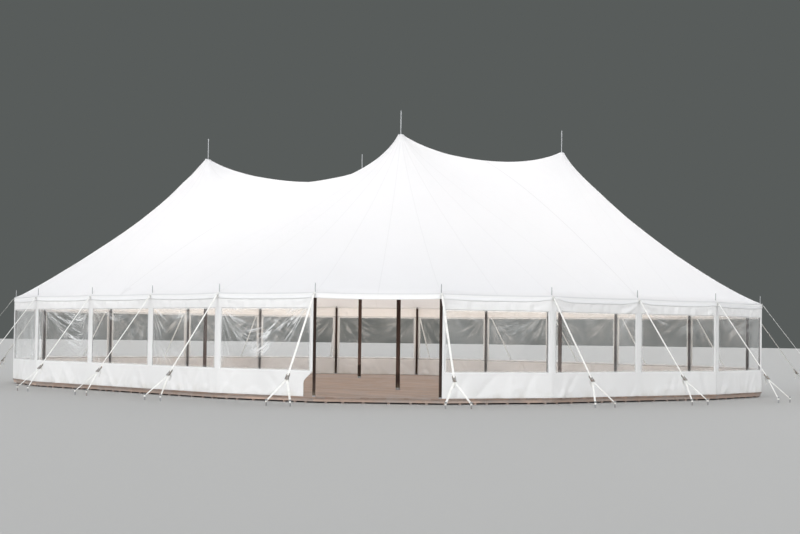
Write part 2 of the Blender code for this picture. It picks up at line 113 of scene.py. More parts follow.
class MARQUEE_PG_roof(bpy.types.PropertyGroup):
    """Roof canvas"""

    valance: length("Valance", "Depth of the band that hangs below the roof's edge", 0.14)
    thickness: length("Thickness", "Thickness of the roof canvas", 0.003)
    droop: length("Droop", "Sag of the edge in the middle of each bay", 0.016)
    peak_ring: length("Peak ring", "Radius of the flat ring round each centre spike", 0.075)
    canvas: colour("Canvas", "Colour of the roof canvas", (0.870, 0.870, 0.878))
    glow: colour("Glow", "Tint of the light that comes through", (0.915, 0.925, 0.945))
    light: share("Light through", "Share of the light that passes through the canvas", 0.34)


class MARQUEE_PG_walls(bpy.types.PropertyGroup):
    """Wall canvas and windows"""

    thickness: length("Thickness", "Thickness of the wall canvas", 0.0022)
    band: length("Band", "Half the width of the white band at each pole", 0.112)
    skirt: length("Skirt", "Height of the white skirt below the windows", 0.62)
    header: length("Header", "Height of the white header between window and eave", 0.24)
    cell: length("Fold detail", "Spacing of the points that carry the folds", 0.065)
    vinyl: length("Clear sheet", "Thickness of the clear sheet", 0.0012)
    vinyl_cell: length("Window detail", "Spacing of the points of the clear sheet", 0.036)
    lap: length("Lap", "Overlap of the clear sheet behind the canvas", 0.04)
    tuck: length("Tuck", "How far the wall's foot is drawn back beside the entrance", 0.27)
    canvas: colour("Canvas", "Colour of the wall canvas", (0.845, 0.842, 0.840))
    glow: colour("Glow", "Tint of the light that comes through", (0.92, 0.90, 0.87))
    light: share("Light through", "Share of the light that passes through the canvas", 0.09)
    clear: colour("Clear vinyl", "Tint of the clear sheet's haze", (0.82, 0.84, 0.84))
    haze: share("Haze", "How milky the flat clear sheet looks", 0.044)


class MARQUEE_PG_poles(bpy.types.PropertyGroup):
    """Poles and spikes"""

    side_spike: length("Side spike", "Radius of a side pole's spike", 0.011)
    centre_spike: length("Centre spike", "Radius of a centre pole's spike", 0.015)
    ferrule: length("Ferrule", "Length of the steel sleeve at each end of a pole", 0.03)
    wood: colour("Pole timber", "Colour of the stained poles", (0.0225, 0.0135, 0.0110))
    steel: colour("Galvanised steel", "Colour of spikes, rings and stakes", (0.42, 0.43, 0.44))


class MARQUEE_PG_guys(bpy.types.PropertyGroup):
    """Guys, ratchets and stakes"""

    width: length("Strap width", "Width of the guy webbing", 0.05)
    thickness: length("Strap thickness", "Thickness of the guy webbing", 0.0035)
    belt: length("Eave belt", "Width of the webbing belt along the eave", 0.04)
    ratchet_out: length("Ratchet distance", "From the pole to the ratchet", 1.56)
    ratchet_height: length("Ratchet height", "Height of the ratchet above the ground", 0.68)
    stake_out: length("Stake distance", "From the pole to the stakes", 2.10)
    stake_spread: length("Stake spread", "Half the distance between a guy's two stakes", 0.30)
    stake_height: length("Stake height", "Height of the stake heads above the ground", 0.16)
    webbing: colour("Webbing", "Colour of the straps", (0.86, 0.85, 0.82))
    belt_colour: colour("Belt webbing", "Colour of the belt along the eave", (0.88, 0.88, 0.875))
    iron: colour("Ratchet steel", "Colour of the ratchets", (0.33, 0.325, 0.31))


class MARQUEE_PG_deck(bpy.types.PropertyGroup):
    """Timber platform"""

    board: length("Board width", "Width of a deck board", 0.145)
    gap: length("Board gap", "Gap between deck boards", 0.006)
    thickness: length("Board thickness", "Thickness of a deck board", 0.04)
    inset: length("Frame inset", "How far the frame stands back from the boards' ends", 0.03)
    joist: length("Joist width", "Width of rim and joists", 0.05)
    pitch: length("Joist pitch", "Distance from one joist to the next", 1.20)
    packer: length("Packer height", "Height of the packers under the rim", 0.035)
    timber: colour("Timber", "Colour of the weathered boards", (0.29, 0.205, 0.16))
    rim: colour("Rim", "Colour of the rim boards", (0.44, 0.325, 0.265))


class MARQUEE_PG_stage(bpy.types.PropertyGroup):
    """Floor, light and camera"""

    floor: colour("Floor", "Colour of the floor", (0.37, 0.367, 0.357))
    backdrop: colour("Backdrop", "Colour behind the marquee", (0.098, 0.107, 0.104))
    dome: colour("Dome", "Colour of the soft light above the backdrop", (0.74, 0.765, 0.80))
    zenith: colour("Zenith", "Colour of the soft light straight overhead", (0.42, 0.435, 0.46))
    floor_radius: length("Floor radius", "Radius of the round floor", 230.0)
    lens: FloatProperty(
        name="Lens", description="Focal length of the camera", default=74.91, min=1.0, unit="CAMERA"
    )
    eye: FloatVectorProperty(
        name="Eye", description="Place of the camera", default=(39.929, -32.615, 1.709),
        size=3, subtype="TRANSLATION", unit="LENGTH",
    )
    aim: FloatVectorProperty(
        name="Aim", description="Azimuth, elevation and roll of the camera",
        default=[math.radians(angle) for angle in (49.993, -2.275, 0.709)],
        size=3, subtype="EULER", unit="ROTATION",
    )


def settings(group):
    return getattr(bpy.context.scene, "marquee_" + group)


# The wall line


def bay_direction(bay):
    return (POLES[(bay + 1) % POLE_COUNT] - POLES[bay % POLE_COUNT]).normalized()


def bay_outward(bay):
    along = bay_direction(bay)
    return Vector((along.y, -along.x))


def pole_outward(pole):
    """Outward direction at a pole, and how much the wall line's turn stretches an offset."""
    outward = (bay_outward(pole - 1) + bay_outward(pole)).normalized()
    return outward, 1 / outward.dot(bay_outward(pole))


def offset_corner(pole, offset):
    outward, stretch = pole_outward(pole)
    return POLES[pole % POLE_COUNT] + outward * offset * stretch


def bay_width(bay, offset):
    return (offset_corner(bay + 1, offset) - offset_corner(bay, offset)).length


def plan_corners(offset):
    """Corners of the offset plan, without the poles that stand in a straight side."""
    turning = [pole for pole in range(POLE_COUNT) if pole_outward(pole)[1] > 1.0003]
    return [offset_corner(pole, offset) for pole in turning]


def plan_sides(offset):
    corners = plan_corners(offset)
    return list(zip(corners, corners[1:] + corners[:1]))


def smooth_step(low, high, value):
    t = np.clip((value - low) / (high - low), 0, 1)
    return t * t * (3 - 2 * t)


def bell(value, width):
    """Hump of height 1 at zero that falls away over a width."""
    return np.exp(-((value / width) ** 2))


def edge_droop(fraction):
    """Sag of the roof's edge at a fraction of the way along a bay."""
    return settings("roof").droop * (1 - np.abs(2 * np.asarray(fraction) - 1) ** 2.4)


# Building blocks


def deselect():
    if bpy.context.object and bpy.context.object.mode != "OBJECT":
        bpy.ops.object.mode_set(mode="OBJECT")
    bpy.ops.object.select_all(action="DESELECT")


def select_only(item):
    deselect()
    item.select_set(True)
    bpy.context.view_layer.objects.active = item


def remove(*items):
    for item in items:
        bpy.data.objects.remove(item, do_unlink=True)


def apply_modifier(item, kind, **values):
    select_only(item)
    modifier = item.modifiers.new(kind.lower(), kind)
    for name, value in values.items():
        setattr(modifier, name, value)
    bpy.ops.object.modifier_apply(modifier=modifier.name)


def set_finish(item, finish):
    item.data.materials.clear()
    item.data.materials.append(bpy.data.materials[finish])


def new_piece(name, points, faces, finish):
    mesh = bpy.data.meshes.new(name)
    mesh.from_pydata([tuple(point) for point in points], [], faces)
    item = bpy.data.objects.new(name, mesh)
    bpy.context.scene.collection.objects.link(item)
    set_finish(item, finish)
    mesh.shade_smooth()
    return item


def point_attribute(mesh, name, values):
    attribute = mesh.attributes.new(name, "FLOAT", "POINT")
    attribute.data.foreach_set("value", np.asarray(values, np.float32).ravel())


def read_attribute(mesh, name):
    values = np.empty(len(mesh.vertices), np.float32)
    mesh.attributes[name].data.foreach_get("value", values)
    return values.astype(float)


def read_points(mesh):
    values = np.empty(len(mesh.vertices) * 3, np.float32)
    mesh.vertices.foreach_get("co", values)
    return values.reshape(-1, 3).astype(float)


def write_points(mesh, points):
    mesh.vertices.foreach_set("co", np.asarray(points, np.float32).ravel())
    mesh.update()


def map_cloth(mesh, name, places):
    """UV map in metres from one place for each point."""
    corners = np.empty(len(mesh.loops), np.int32)
    mesh.loops.foreach_get("vertex_index", corners)
    layer = mesh.uv_layers.new(name=name)
    layer.data.foreach_set("uv", np.asarray(places, np.float32)[corners].ravel())


def grid_faces(columns, rows, left_out=()):
    faces = []
    for column in range(columns - 1):
        for row in range(rows - 1):
            if (column, row) not in left_out:
                here = column * rows + row
                faces.append((here, here + rows, here + rows + 1, here + 1))
    return faces


def join(name, items):
    select_only(items[0])
    for item in items:
        item.select_set(True)
    bpy.ops.object.join()
    joined = bpy.context.object
    joined.name = joined.data.name = name
    return joined


def move(item, place, turn=None):
    """Turn a piece's mesh and move it to a place."""
    if turn is not None:
        item.data.transform(turn)
    item.data.transform(Matrix.Translation(place))
    return item


def bar(size, middle, bevel, turn=None, segments=2):
    """Bevelled bar of a size about a middle point."""
    deselect()
    bpy.ops.mesh.primitive_cube_add(size=1, location=(0, 0, 0))
    item = bpy.context.object
    bpy.ops.object.mode_set(mode="EDIT")
    bpy.ops.transform.resize(value=size)
    bpy.ops.mesh.select_all(action="SELECT")
    if bevel:
        bpy.ops.mesh.bevel(offset=bevel, segments=segments, affect="EDGES")
    bpy.ops.object.mode_set(mode="OBJECT")
    return move(item, middle, turn)


def turned(profile, sides):
    """Round piece: a disc extruded up a profile of radius and height."""
    deselect()
    radius, level = profile[0]
    bpy.ops.mesh.primitive_circle_add(
        vertices=sides, radius=radius, fill_type="NGON", location=(0, 0, 0)
    )
    item = move(bpy.context.object, (0, 0, level))
    bpy.ops.object.mode_set(mode="EDIT")
    bpy.ops.mesh.select_all(action="SELECT")
    for next_radius, next_level in profile[1:]:
        grow = next_radius / radius
        bpy.ops.mesh.extrude_region_move(
            TRANSFORM_OT_translate={"value": (0, 0, next_level - level)}
        )
        bpy.ops.transform.resize(value=(grow, grow, 1), center_override=(0, 0, next_level))
        radius, level = next_radius, next_level
    bpy.ops.mesh.select_all(action="SELECT")
    bpy.ops.mesh.normals_make_consistent(inside=False)
    bpy.ops.object.mode_set(mode="OBJECT")
    return item


UPEND = Matrix.Rotation(math.radians(90), 4, "X")


def cross_rod(radius, width, middle):
    """Round rod along Y about a middle point, with eased ends."""
    half = width / 2
    ease = min(radius, half) * 0.25
    ends = [(radius - ease, -half), (radius, ease - half), (radius, half - ease), (radius - ease, half)]
    return move(turned(ends, 12), middle, UPEND)


def strip(sections, width, thickness, finish):
    """Flat webbing through sections: middle, way across, way through, and run along it."""
    points, places, faces = [], [], []
    for middle, across, through, run in sections:
        for side, face in ((-1, -1), (1, -1), (1, 1), (-1, 1)):
            points.append(middle + across * width / 2 * side + through * thickness / 2 * face)
            places.append((run, width / 2 * side))
    last = len(points) - 4
    for start in range(0, last, 4):
        for corner in range(4):
            here, beside = start + corner, start + (corner + 1) % 4
            faces.append((here, beside, beside + 4, here + 4))
    faces += [(3, 2, 1, 0), (last, last + 1, last + 2, last + 3)]
    item = new_piece("strap", points, faces, finish)
    map_cloth(item.data, "cloth", places)
    return item


def ribbon(path, width, thickness, finish, across=(0, 1, 0)):
    """Flat webbing along a path, with its own UV map in metres."""
    path = [Vector(point) for point in path]
    across = Vector(across)
    sections = []
    run = 0.0
    for index, point in enumerate(path):
        before, after = path[max(index - 1, 0)], path[min(index + 1, len(path) - 1)]
        run += (point - before).length
        sections.append((point, across, (after - before).normalized().cross(across).normalized(), run))
    return strip(sections, width, thickness, finish)


def copy_to(pattern, places):
    """Copies of a pattern, each with its own mesh, at each place."""
    copies = []
    for place in places:
        copy = pattern.copy()
        copy.data = pattern.data.copy()
        copy.data.transform(place)
        bpy.context.scene.collection.objects.link(copy)
        copies.append(copy)
    return copies


def finish_piece(item, slot, *nodes):
    """Hand a finished piece to the frame: attach it to the root body and hide the nodes it stands for;
    the slot is not used.
    """
    deselect()
    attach(item, "root")
    if nodes:
        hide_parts(*nodes)


def soften(item):
    select_only(item)
    bpy.ops.object.shade_smooth_by_angle(angle=math.radians(35))


# Shader helpers


def feed(tree, socket, value):
    if isinstance(value, bpy.types.NodeSocket):
        tree.links.new(value, socket)
    elif socket.type == "RGBA" and len(value) == 3:
        socket.default_value = (*value, 1.0)
    else:
        socket.default_value = value


def add_node(tree, kind, inputs=None, **values):
    made = tree.nodes.new(kind)
    for name, value in values.items():
        setattr(made, name, value)
    for name, value in (inputs or {}).items():
        feed(tree, made.inputs[name], value)
    return made


def maths(tree, operation, first, second=0.0, third=0.0, clamp=False):
    made = add_node(
        tree, "ShaderNodeMath", {0: first, 1: second, 2: third}, operation=operation, use_clamp=clamp
    )
    return made.outputs[0]


def times(tree, first, second, clamp=False):
    return maths(tree, "MULTIPLY", first, second, clamp=clamp)


def vector_maths(tree, operation, first, second):
    made = add_node(tree, "ShaderNodeVectorMath", {0: first, 1: second}, operation=operation)
    return made.outputs[0]


def ramp(tree, value, low, high, start=0.0, end=1.0, kind="SMOOTHSTEP"):
    made = add_node(
        tree, "ShaderNodeMapRange", {0: value, 1: low, 2: high, 3: start, 4: end},
        interpolation_type=kind,
    )
    return made.outputs[0]


def blend(tree, amount, first, second):
    made = add_node(tree, "ShaderNodeMix", {0: amount}, data_type="RGBA")
    feed(tree, made.inputs[6], first)
    feed(tree, made.inputs[7], second)
    return made.outputs[2]


def scaled(base, factor):
    return tuple(factor * v for v in base)


def parts(tree, vector):
    return add_node(tree, "ShaderNodeSeparateXYZ", {0: vector}).outputs


def stretched(tree, vector, scale):
    return add_node(tree, "ShaderNodeMapping", {"Vector": vector, "Scale": scale}).outputs[0]


def mottle(tree, vector, scale, detail=3.0, roughness=0.5):
    made = add_node(
        tree, "ShaderNodeTexNoise",
        {"Vector": vector, "Scale": scale, "Detail": detail, "Roughness": roughness},
    )
    return made.outputs[0]


def bump(tree, height, distance, strength, normal=None):
    made = add_node(
        tree, "ShaderNodeBump", {"Height": height, "Distance": distance, "Strength": strength}
    )
    if normal is not None:
        feed(tree, made.inputs["Normal"], normal)
    return made.outputs[0]


def new_group(name, inputs, outputs):
    """Node group with number and vector inputs and number outputs, and its two ends."""
    group = bpy.data.node_groups.new(name, "ShaderNodeTree")
    for socket, default in inputs.items():
        kind = "NodeSocketFloat" if isinstance(default, float) else "NodeSocketVector"
        group.interface.new_socket(socket, in_out="INPUT", socket_type=kind).default_value = default
    for socket in outputs:
        group.interface.new_socket(socket, in_out="OUTPUT", socket_type="NodeSocketFloat")
    entry, end = group.nodes.new("NodeGroupInput"), group.nodes.new("NodeGroupOutput")
    return group, entry.outputs, end.inputs


def use_group(tree, name, inputs):
    made = tree.nodes.new("ShaderNodeGroup")
    made.node_tree = bpy.data.node_groups[name]
    for socket, value in inputs.items():
        feed(tree, made.inputs[socket], value)
    return made.outputs


def new_material(name):
    """Node tree of a new material, its shader and the place of each point in the object."""
    finish = bpy.data.materials.new(name)
    finish.use_nodes = True
    tree = finish.node_tree
    place = add_node(tree, "ShaderNodeTexCoord").outputs["Object"]
    return tree, tree.nodes["Principled BSDF"], place


def set_surface(tree, shader, tone, roughness, normal=None, metallic=None):
    for socket, value in (
        ("Base Color", tone), ("Roughness", roughness), ("Normal", normal), ("Metallic", metallic)
    ):
        if value is not None:
            feed(tree, shader.inputs[socket], value)


def cloth_place(tree, name="cloth"):
    return add_node(tree, "ShaderNodeUVMap", uv_map=name).outputs[0]


def attribute(tree, name):
    return add_node(tree, "ShaderNodeAttribute", attribute_name=name).outputs["Fac"]


# Shared effects

ORIGIN = (0.0, 0.0, 0.0)


def make_weave_group():
    """Plain weave: crossing threads of a pitch, as a height from 0 to 1."""
    tree, entry, end = new_group("weave", {"Place": ORIGIN, "Pitch": 0.002}, ["Height"])
    x, y, _ = parts(tree, entry["Place"])
    turn = maths(tree, "DIVIDE", math.pi, entry["Pitch"])
    warp, weft = (maths(tree, "SINE", times(tree, way, turn)) for way in (x, y))
    feed(tree, end["Height"], maths(tree, "MULTIPLY_ADD", times(tree, warp, weft), 0.5, 0.5))


def make_soil_group():
    """Splashes and dust that fade out above a height, as a mask."""
    tree, entry, end = new_group("soil", {"Place": ORIGIN, "Low": 0.15, "High": 0.5}, ["Mask"])
    level = parts(tree, entry["Place"])[2]
    fade = ramp(tree, level, entry["Low"], entry["High"], 1.0, 0.0, "LINEAR")
    patches = mottle(tree, entry["Place"], 2.4, 6.0, 0.62)
    specks = mottle(tree, entry["Place"], 38.0)
    cover = times(tree, ramp(tree, patches, 0.42, 0.68), maths(tree, "POWER", fade, 2.2))
    spots = times(tree, ramp(tree, specks, 0.60, 0.68), maths(tree, "POWER", fade, 3.0))
    feed(tree, end["Mask"], maths(tree, "MAXIMUM", cover, spots, clamp=True))


def soil_mask(tree, place, low, high):
    return use_group(tree, "soil", {"Place": place, "Low": low, "High": high})["Mask"]


def make_grain_group():
    """Timber grain that runs along one axis of the place it is given."""
    tree, entry, end = new_group(
        "grain", {"Place": ORIGIN, "Along": (1.0, 1.0, 0.05), "Scale": 30.0}, ["Streaks", "Fibres"]
    )
    drawn = vector_maths(tree, "MULTIPLY", entry["Place"], entry["Along"])
    moved = vector_maths(tree, "ADD", drawn, mottle(tree, drawn, 6.0, 2.0))
    feed(tree, end["Streaks"], mottle(tree, moved, entry["Scale"], 5.0, 0.6))
    feed(tree, end["Fibres"], mottle(tree, moved, times(tree, entry["Scale"], 5.0), 3.0, 0.55))


def make_crease_group():
    """Fine creases drawn out along the second axis of a place, as a mask."""
    tree, entry, end = new_group("creases", {"Place": ORIGIN, "Scale": 5.0}, ["Mask"])
    crests = []
    for stretch in ((1.0, 0.13, 1.0), (2.0, 0.24, 1.0)):
        lines = mottle(tree, stretched(tree, entry["Place"], stretch), entry["Scale"], 2.4)
        across = maths(tree, "ABSOLUTE", maths(tree, "MULTIPLY_ADD", lines, 8.0, -4.0))
        ridge = maths(tree, "MAXIMUM", maths(tree, "SUBTRACT", 1.0, across), 0.0)
        crests.append(maths(tree, "POWER", ridge, 5.0))
    broken = mottle(tree, stretched(tree, entry["Place"], (1.0, 0.24, 1.0)), 3.4)
    gaps = ramp(tree, broken, 0.40, 0.58)
    feed(tree, end["Mask"], times(tree, maths(tree, "MAXIMUM", *crests), gaps, clamp=True))


# Materials


def canvas_material(name, sizes, soil_top, cloudy, lined=0.0):
    """Coated canvas: fine weave, welded seams, faint mottling, soil low down, and a painted shade line
    along the fold at the roof's edge.
    """
    base, warm = sizes.canvas, sizes.glow
    tree, shader, place = new_material(name)
    cloth = cloth_place(tree)
    threads = use_group(tree, "weave", {"Place": cloth, "Pitch": 0.0045})["Height"]
    clouds = mottle(tree, place, 0.7, 4.0)
    seam = ramp(tree, parts(tree, cloth_place(tree, "seams"))[0], 0.009, 0.017, 1.0, 0.0)
    run = parts(tree, cloth)[1]
    fold = ramp(tree, maths(tree, "ABSOLUTE", run), 0.010, 0.026, 1.0, 0.0)
    soil = soil_mask(tree, place, DECK_TOP, soil_top)
    tone = blend(tree, ramp(tree, clouds, 0.3, 0.7), scaled(base, cloudy), base)
    tone = blend(tree, times(tree, seam, 0.2), tone, scaled(base, 0.90))
    tone = blend(tree, times(tree, soil, 0.30), tone, (0.44, 0.40, 0.30))
    # Painted shade: the canvas within a few centimetres of the roof's edge, where it folds down into the
    # valance, is darkened as a shade line.
    tone = blend(tree, times(tree, fold, 0.18), tone, scaled(base, 0.55))
    passed = sizes.light
    if lined:
        hanging = ramp(tree, run, -0.040, -0.022, 1.0, 0.0)
        passed = maths(tree, "MULTIPLY_ADD", hanging, -lined * sizes.light, sizes.light)
        tone = blend(tree, times(tree, hanging, 0.8), tone, scaled(base, 1.10))
    soft = bump(tree, mottle(tree, stretched(tree, place, (1.0, 1.0, 0.35)), 4.2, 4.0, 0.55), 0.014, 0.45)
    woven = bump(tree, threads, 0.0003, 0.35, bump(tree, seam, 0.0012, 0.5, soft))
    set_surface(tree, shader, tone, ramp(tree, clouds, 0.2, 0.8, 0.44, 0.58), woven)
    shader.inputs["Specular IOR Level"].default_value = 0.35
    thick = maths(tree, "MAXIMUM", times(tree, seam, 0.4), fold)
    glow = blend(tree, thick, warm, scaled(warm, 0.78))
    through = add_node(tree, "ShaderNodeBsdfTranslucent", {"Color": glow, "Normal": soft})
    mix = add_node(
        tree, "ShaderNodeMixShader", {0: passed, 1: shader.outputs[0], 2: through.outputs[0]}
    )
    feed(tree, tree.nodes["Material Output"].inputs["Surface"], mix.outputs[0])


def vinyl_material(name, sizes):
    """Clear soft sheet: see-through where flat, whiter at its welds, and opaque and near-white along its
    creases as a painted highlight for the glints on the crumples.
    """
    tree, shader, place = new_material(name)
    border = attribute(tree, "border")
    folds = []
    for way, kind, fineness in (("swag", "slack", 5.6), ("fan", "pull", 5.2)):
        lines = use_group(tree, "creases", {"Place": cloth_place(tree, way), "Scale": fineness})["Mask"]
        folds.append(times(tree, lines, attribute(tree, kind)))
    crease = maths(tree, "MAXIMUM", *folds, clamp=True)
    patches = mottle(tree, place, 1.1)
    clouds = ramp(tree, patches, 0.3, 0.75, 0.6, 1.5)
    puckers = ramp(tree, mottle(tree, place, 9.0, 2.0), 0.35, 0.65, 0.3, 1.0)
    fade = times(tree, ramp(tree, border, 0.0, 0.10, 0.14, 0.0), puckers)
    weld = maths(tree, "MAXIMUM", ramp(tree, border, 0.016, 0.024, 0.42, 0.0), fade)
    veil = times(tree, clouds, maths(tree, "ADD", attribute(tree, "mist"), sizes.haze))
    # Painted highlight: the crease mask makes the sheet opaque along its creases, so the near-white tone
    # below shows there as glints on the crumples.
    alpha = maths(tree, "ADD", maths(tree, "MULTIPLY_ADD", crease, 0.62, veil), weld)
    feed(tree, shader.inputs["Alpha"], maths(tree, "MINIMUM", alpha, 0.85, clamp=True))
    # Near-white along the creases is a painted highlight; at the welds it is the sheet's own milky seam.
    white = blend(tree, maths(tree, "MAXIMUM", crease, weld), sizes.clear, (0.93, 0.94, 0.95))
    waves = bump(tree, mottle(tree, place, 2.6), 0.03, 0.5)
    rough = ramp(tree, patches, 0.2, 0.8, 0.06, 0.16)
    set_surface(tree, shader, white, rough, bump(tree, crease, 0.006, 0.8, waves))
    shader.inputs["Specular IOR Level"].default_value = 0.7


def pole_material(name, wood):
    """Dark stained timber with grain up the pole and a paler worn foot."""
    tree, shader, place = new_material(name)
    grain = use_group(tree, "grain", {"Place": place, "Along": (1.0, 1.0, 0.04), "Scale": 42.0})
    wear = soil_mask(tree, place, DECK_TOP, DECK_TOP + 0.5)
    tone = blend(tree, ramp(tree, grain["Streaks"], 0.35, 0.7), wood, scaled(wood, 2.1))
    tone = blend(tree, ramp(tree, grain["Fibres"], 0.62, 0.8), tone, scaled(wood, 0.45))
    tone = blend(tree, times(tree, wear, 0.6), tone, (0.30, 0.25, 0.19))
    rough = ramp(tree, grain["Streaks"], 0.2, 0.8, 0.55, 0.78)
    set_surface(tree, shader, tone, rough, bump(tree, grain["Fibres"], 0.0009, 0.6))
    shader.inputs["Specular IOR Level"].default_value = 0.12


def webbing_material(name, base, relief):
    """Woven strap: ribs across, stitched edges, dirt low down."""
    tree, shader, place = new_material(name)
    cloth = cloth_place(tree)
    run, way, _ = parts(tree, cloth)
    threads = use_group(tree, "weave", {"Place": cloth, "Pitch": 0.0028})["Height"]
    ribs = maths(tree, "SINE", times(tree, run, 2 * math.pi / 0.009))
    edge = ramp(tree, maths(tree, "ABSOLUTE", way), 0.0185, 0.0215)
    soil = soil_mask(tree, place, 0.0, 0.9)
    worn = ramp(tree, mottle(tree, place, 9.0, 4.0), 0.3, 0.7)
    tone = blend(tree, worn, scaled(base, 1 - 0.28 * relief), base)
    tone = blend(tree, times(tree, edge, 0.25), tone, scaled(base, 0.7))
    tone = blend(tree, times(tree, soil, 0.5), tone, (0.30, 0.25, 0.17))
    woven = bump(tree, threads, 0.0004, relief, bump(tree, ribs, 0.0006, relief))
    set_surface(tree, shader, tone, ramp(tree, threads, 0.0, 1.0, 0.72, 0.88), woven)
    shader.inputs["Sheen Weight"].default_value = 0.15


def steel_material(name, base):
    """Galvanised steel: spangle, dulled patches, a little rust near the ground."""
    tree, shader, place = new_material(name)
    spangle = add_node(tree, "ShaderNodeTexVoronoi", {"Vector": place, "Scale": 90.0})
    dull = mottle(tree, place, 14.0, 4.0)
    rust = soil_mask(tree, place, 0.0, 0.22)
    flecks = ramp(tree, spangle.outputs["Distance"], 0.1, 0.7)
    tone = blend(tree, flecks, base, scaled(base, 0.78))
    tone = blend(tree, times(tree, rust, 0.7), tone, (0.16, 0.085, 0.045))
    set_surface(
        tree, shader, tone, ramp(tree, dull, 0.2, 0.8, 0.36, 0.60),
        bump(tree, dull, 0.0006, 0.5), ramp(tree, rust, 0.0, 1.0, 0.85, 0.1),
    )


def iron_material(name, base):
    """Dark weathered ratchet iron with worn, rusty patches."""
    tree, shader, place = new_material(name)
    patches = mottle(tree, place, 26.0, 5.0, 0.6)
    pits = mottle(tree, place, 160.0)
    tone = blend(tree, ramp(tree, patches, 0.48, 0.66), base, (0.20, 0.115, 0.065))
    tone = blend(tree, ramp(tree, pits, 0.62, 0.75), tone, (0.26, 0.25, 0.24))
    set_surface(
        tree, shader, tone, ramp(tree, patches, 0.3, 0.7, 0.42, 0.8),
        bump(tree, pits, 0.0005, 0.6), ramp(tree, patches, 0.45, 0.7, 0.4, 0.1),
    )


def timber_material(name, base, along):
    """Weathered boards: grain, grey patches, each board a little different."""
    tree, shader, place = new_material(name)
    board = attribute(tree, "board")
    number = add_node(tree, "ShaderNodeCombineXYZ", {0: board, 1: board, 2: board}).outputs[0]
    own = vector_maths(tree, "ADD", place, vector_maths(tree, "MULTIPLY", number, (37.0, 17.0, 9.0)))
    grain = use_group(tree, "grain", {"Place": own, "Along": along, "Scale": 26.0})
    grey = tuple(0.5 * v + 0.13 for v in base)
    weathered = ramp(tree, mottle(tree, own, 1.3, 4.0), 0.4, 0.65)
    tone = blend(tree, ramp(tree, board, 0.0, 1.0), scaled(base, 0.78), scaled(base, 1.2))
    tone = blend(tree, weathered, tone, grey)
    tone = blend(tree, ramp(tree, grain["Streaks"], 0.5, 0.75, 0.0, 0.7), tone, scaled(base, 0.5))
    rough = ramp(tree, grain["Fibres"], 0.3, 0.7, 0.68, 0.86)
    set_surface(tree, shader, tone, rough, bump(tree, grain["Streaks"], 0.002, 0.6))


def floor_material(name, base):
    """Plain pale floor with the faintest mottling."""
    tree, shader, place = new_material(name)
    clouds = mottle(tree, place, 0.35, 4.0)
    tone = blend(tree, ramp(tree, clouds, 0.3, 0.7), scaled(base, 0.985), base)
    set_surface(tree, shader, tone, ramp(tree, clouds, 0.3, 0.7, 0.86, 0.92))


class MARQUEE_OT_materials(bpy.types.Operator):
    """Make the canvas, vinyl, timber, webbing and steel finishes"""

    bl_idname = "marquee.materials"
    bl_label = "Materials"

    def execute(self, context):
        for make_group in (make_weave_group, make_soil_group, make_grain_group, make_crease_group):
            make_group()
        poles, guys, deck = settings("poles"), settings("guys"), settings("deck")
        canvas_material("roof_canvas", settings("roof"), DECK_TOP, 0.985, 0.5)
        canvas_material("wall_canvas", settings("walls"), DECK_TOP + 0.4, 0.95)
        vinyl_material("window_vinyl", settings("walls"))
        pole_material("pole_timber", poles.wood)
        steel_material("zinc_steel", poles.steel)
        webbing_material("guy_webbing", guys.webbing, 0.5)
        webbing_material("eave_webbing", guys.belt_colour, 0.05)
        iron_material("ratchet_iron", guys.iron)
        timber_material("deck_timber", deck.timber, (0.05, 1.0, 1.0))
        # Painted shade: the joists take the board timber darkened to 0.22, so the gap under the deck
        # reads dark.
        timber_material("joist_timber", scaled(deck.timber, 0.22), (1.0, 0.05, 1.0))
        timber_material("rim_timber", deck.rim, (0.3, 0.3, 1.0))
        floor_material("studio_floor", settings("stage").floor)
        return {"FINISHED"}


# Stage

# Name, strength, spread, azimuth and elevation of the soft lights outside
SUNS = (
    ("sky_light", 0.50, 80, 40, 42),
    ("front_light", 1.67, 45, 18, 11),
    ("right_light", 1.54, 50, 92, 10),
    ("left_light", 1.03, 60, 312, 14),
    ("back_light", 2.0, 80, 215, 16),
)
# Name, middle, length, width and power of the lamps on the hall's floor
HALL_LAMPS = (("hall_light", (0.0, 0.0), 17.5, 13.0, 1260), ("corner_light", (-6.0, 4.4), 5.6, 5.0, 105))
LAMP_HEIGHT = 0.45


def toward(azimuth, elevation):
    """Direction from the marquee to an azimuth and elevation, as the camera's are given."""
    level = math.cos(elevation)
    return Vector((math.sin(azimuth) * level, -math.cos(azimuth) * level, math.sin(elevation)))


def add_lamp(kind, name, power, place=(0, 0, 0)):
    deselect()
    bpy.ops.object.light_add(type=kind, location=place)
    lamp = bpy.context.object
    lamp.name = name
    lamp.data.energy = power
    return lamp


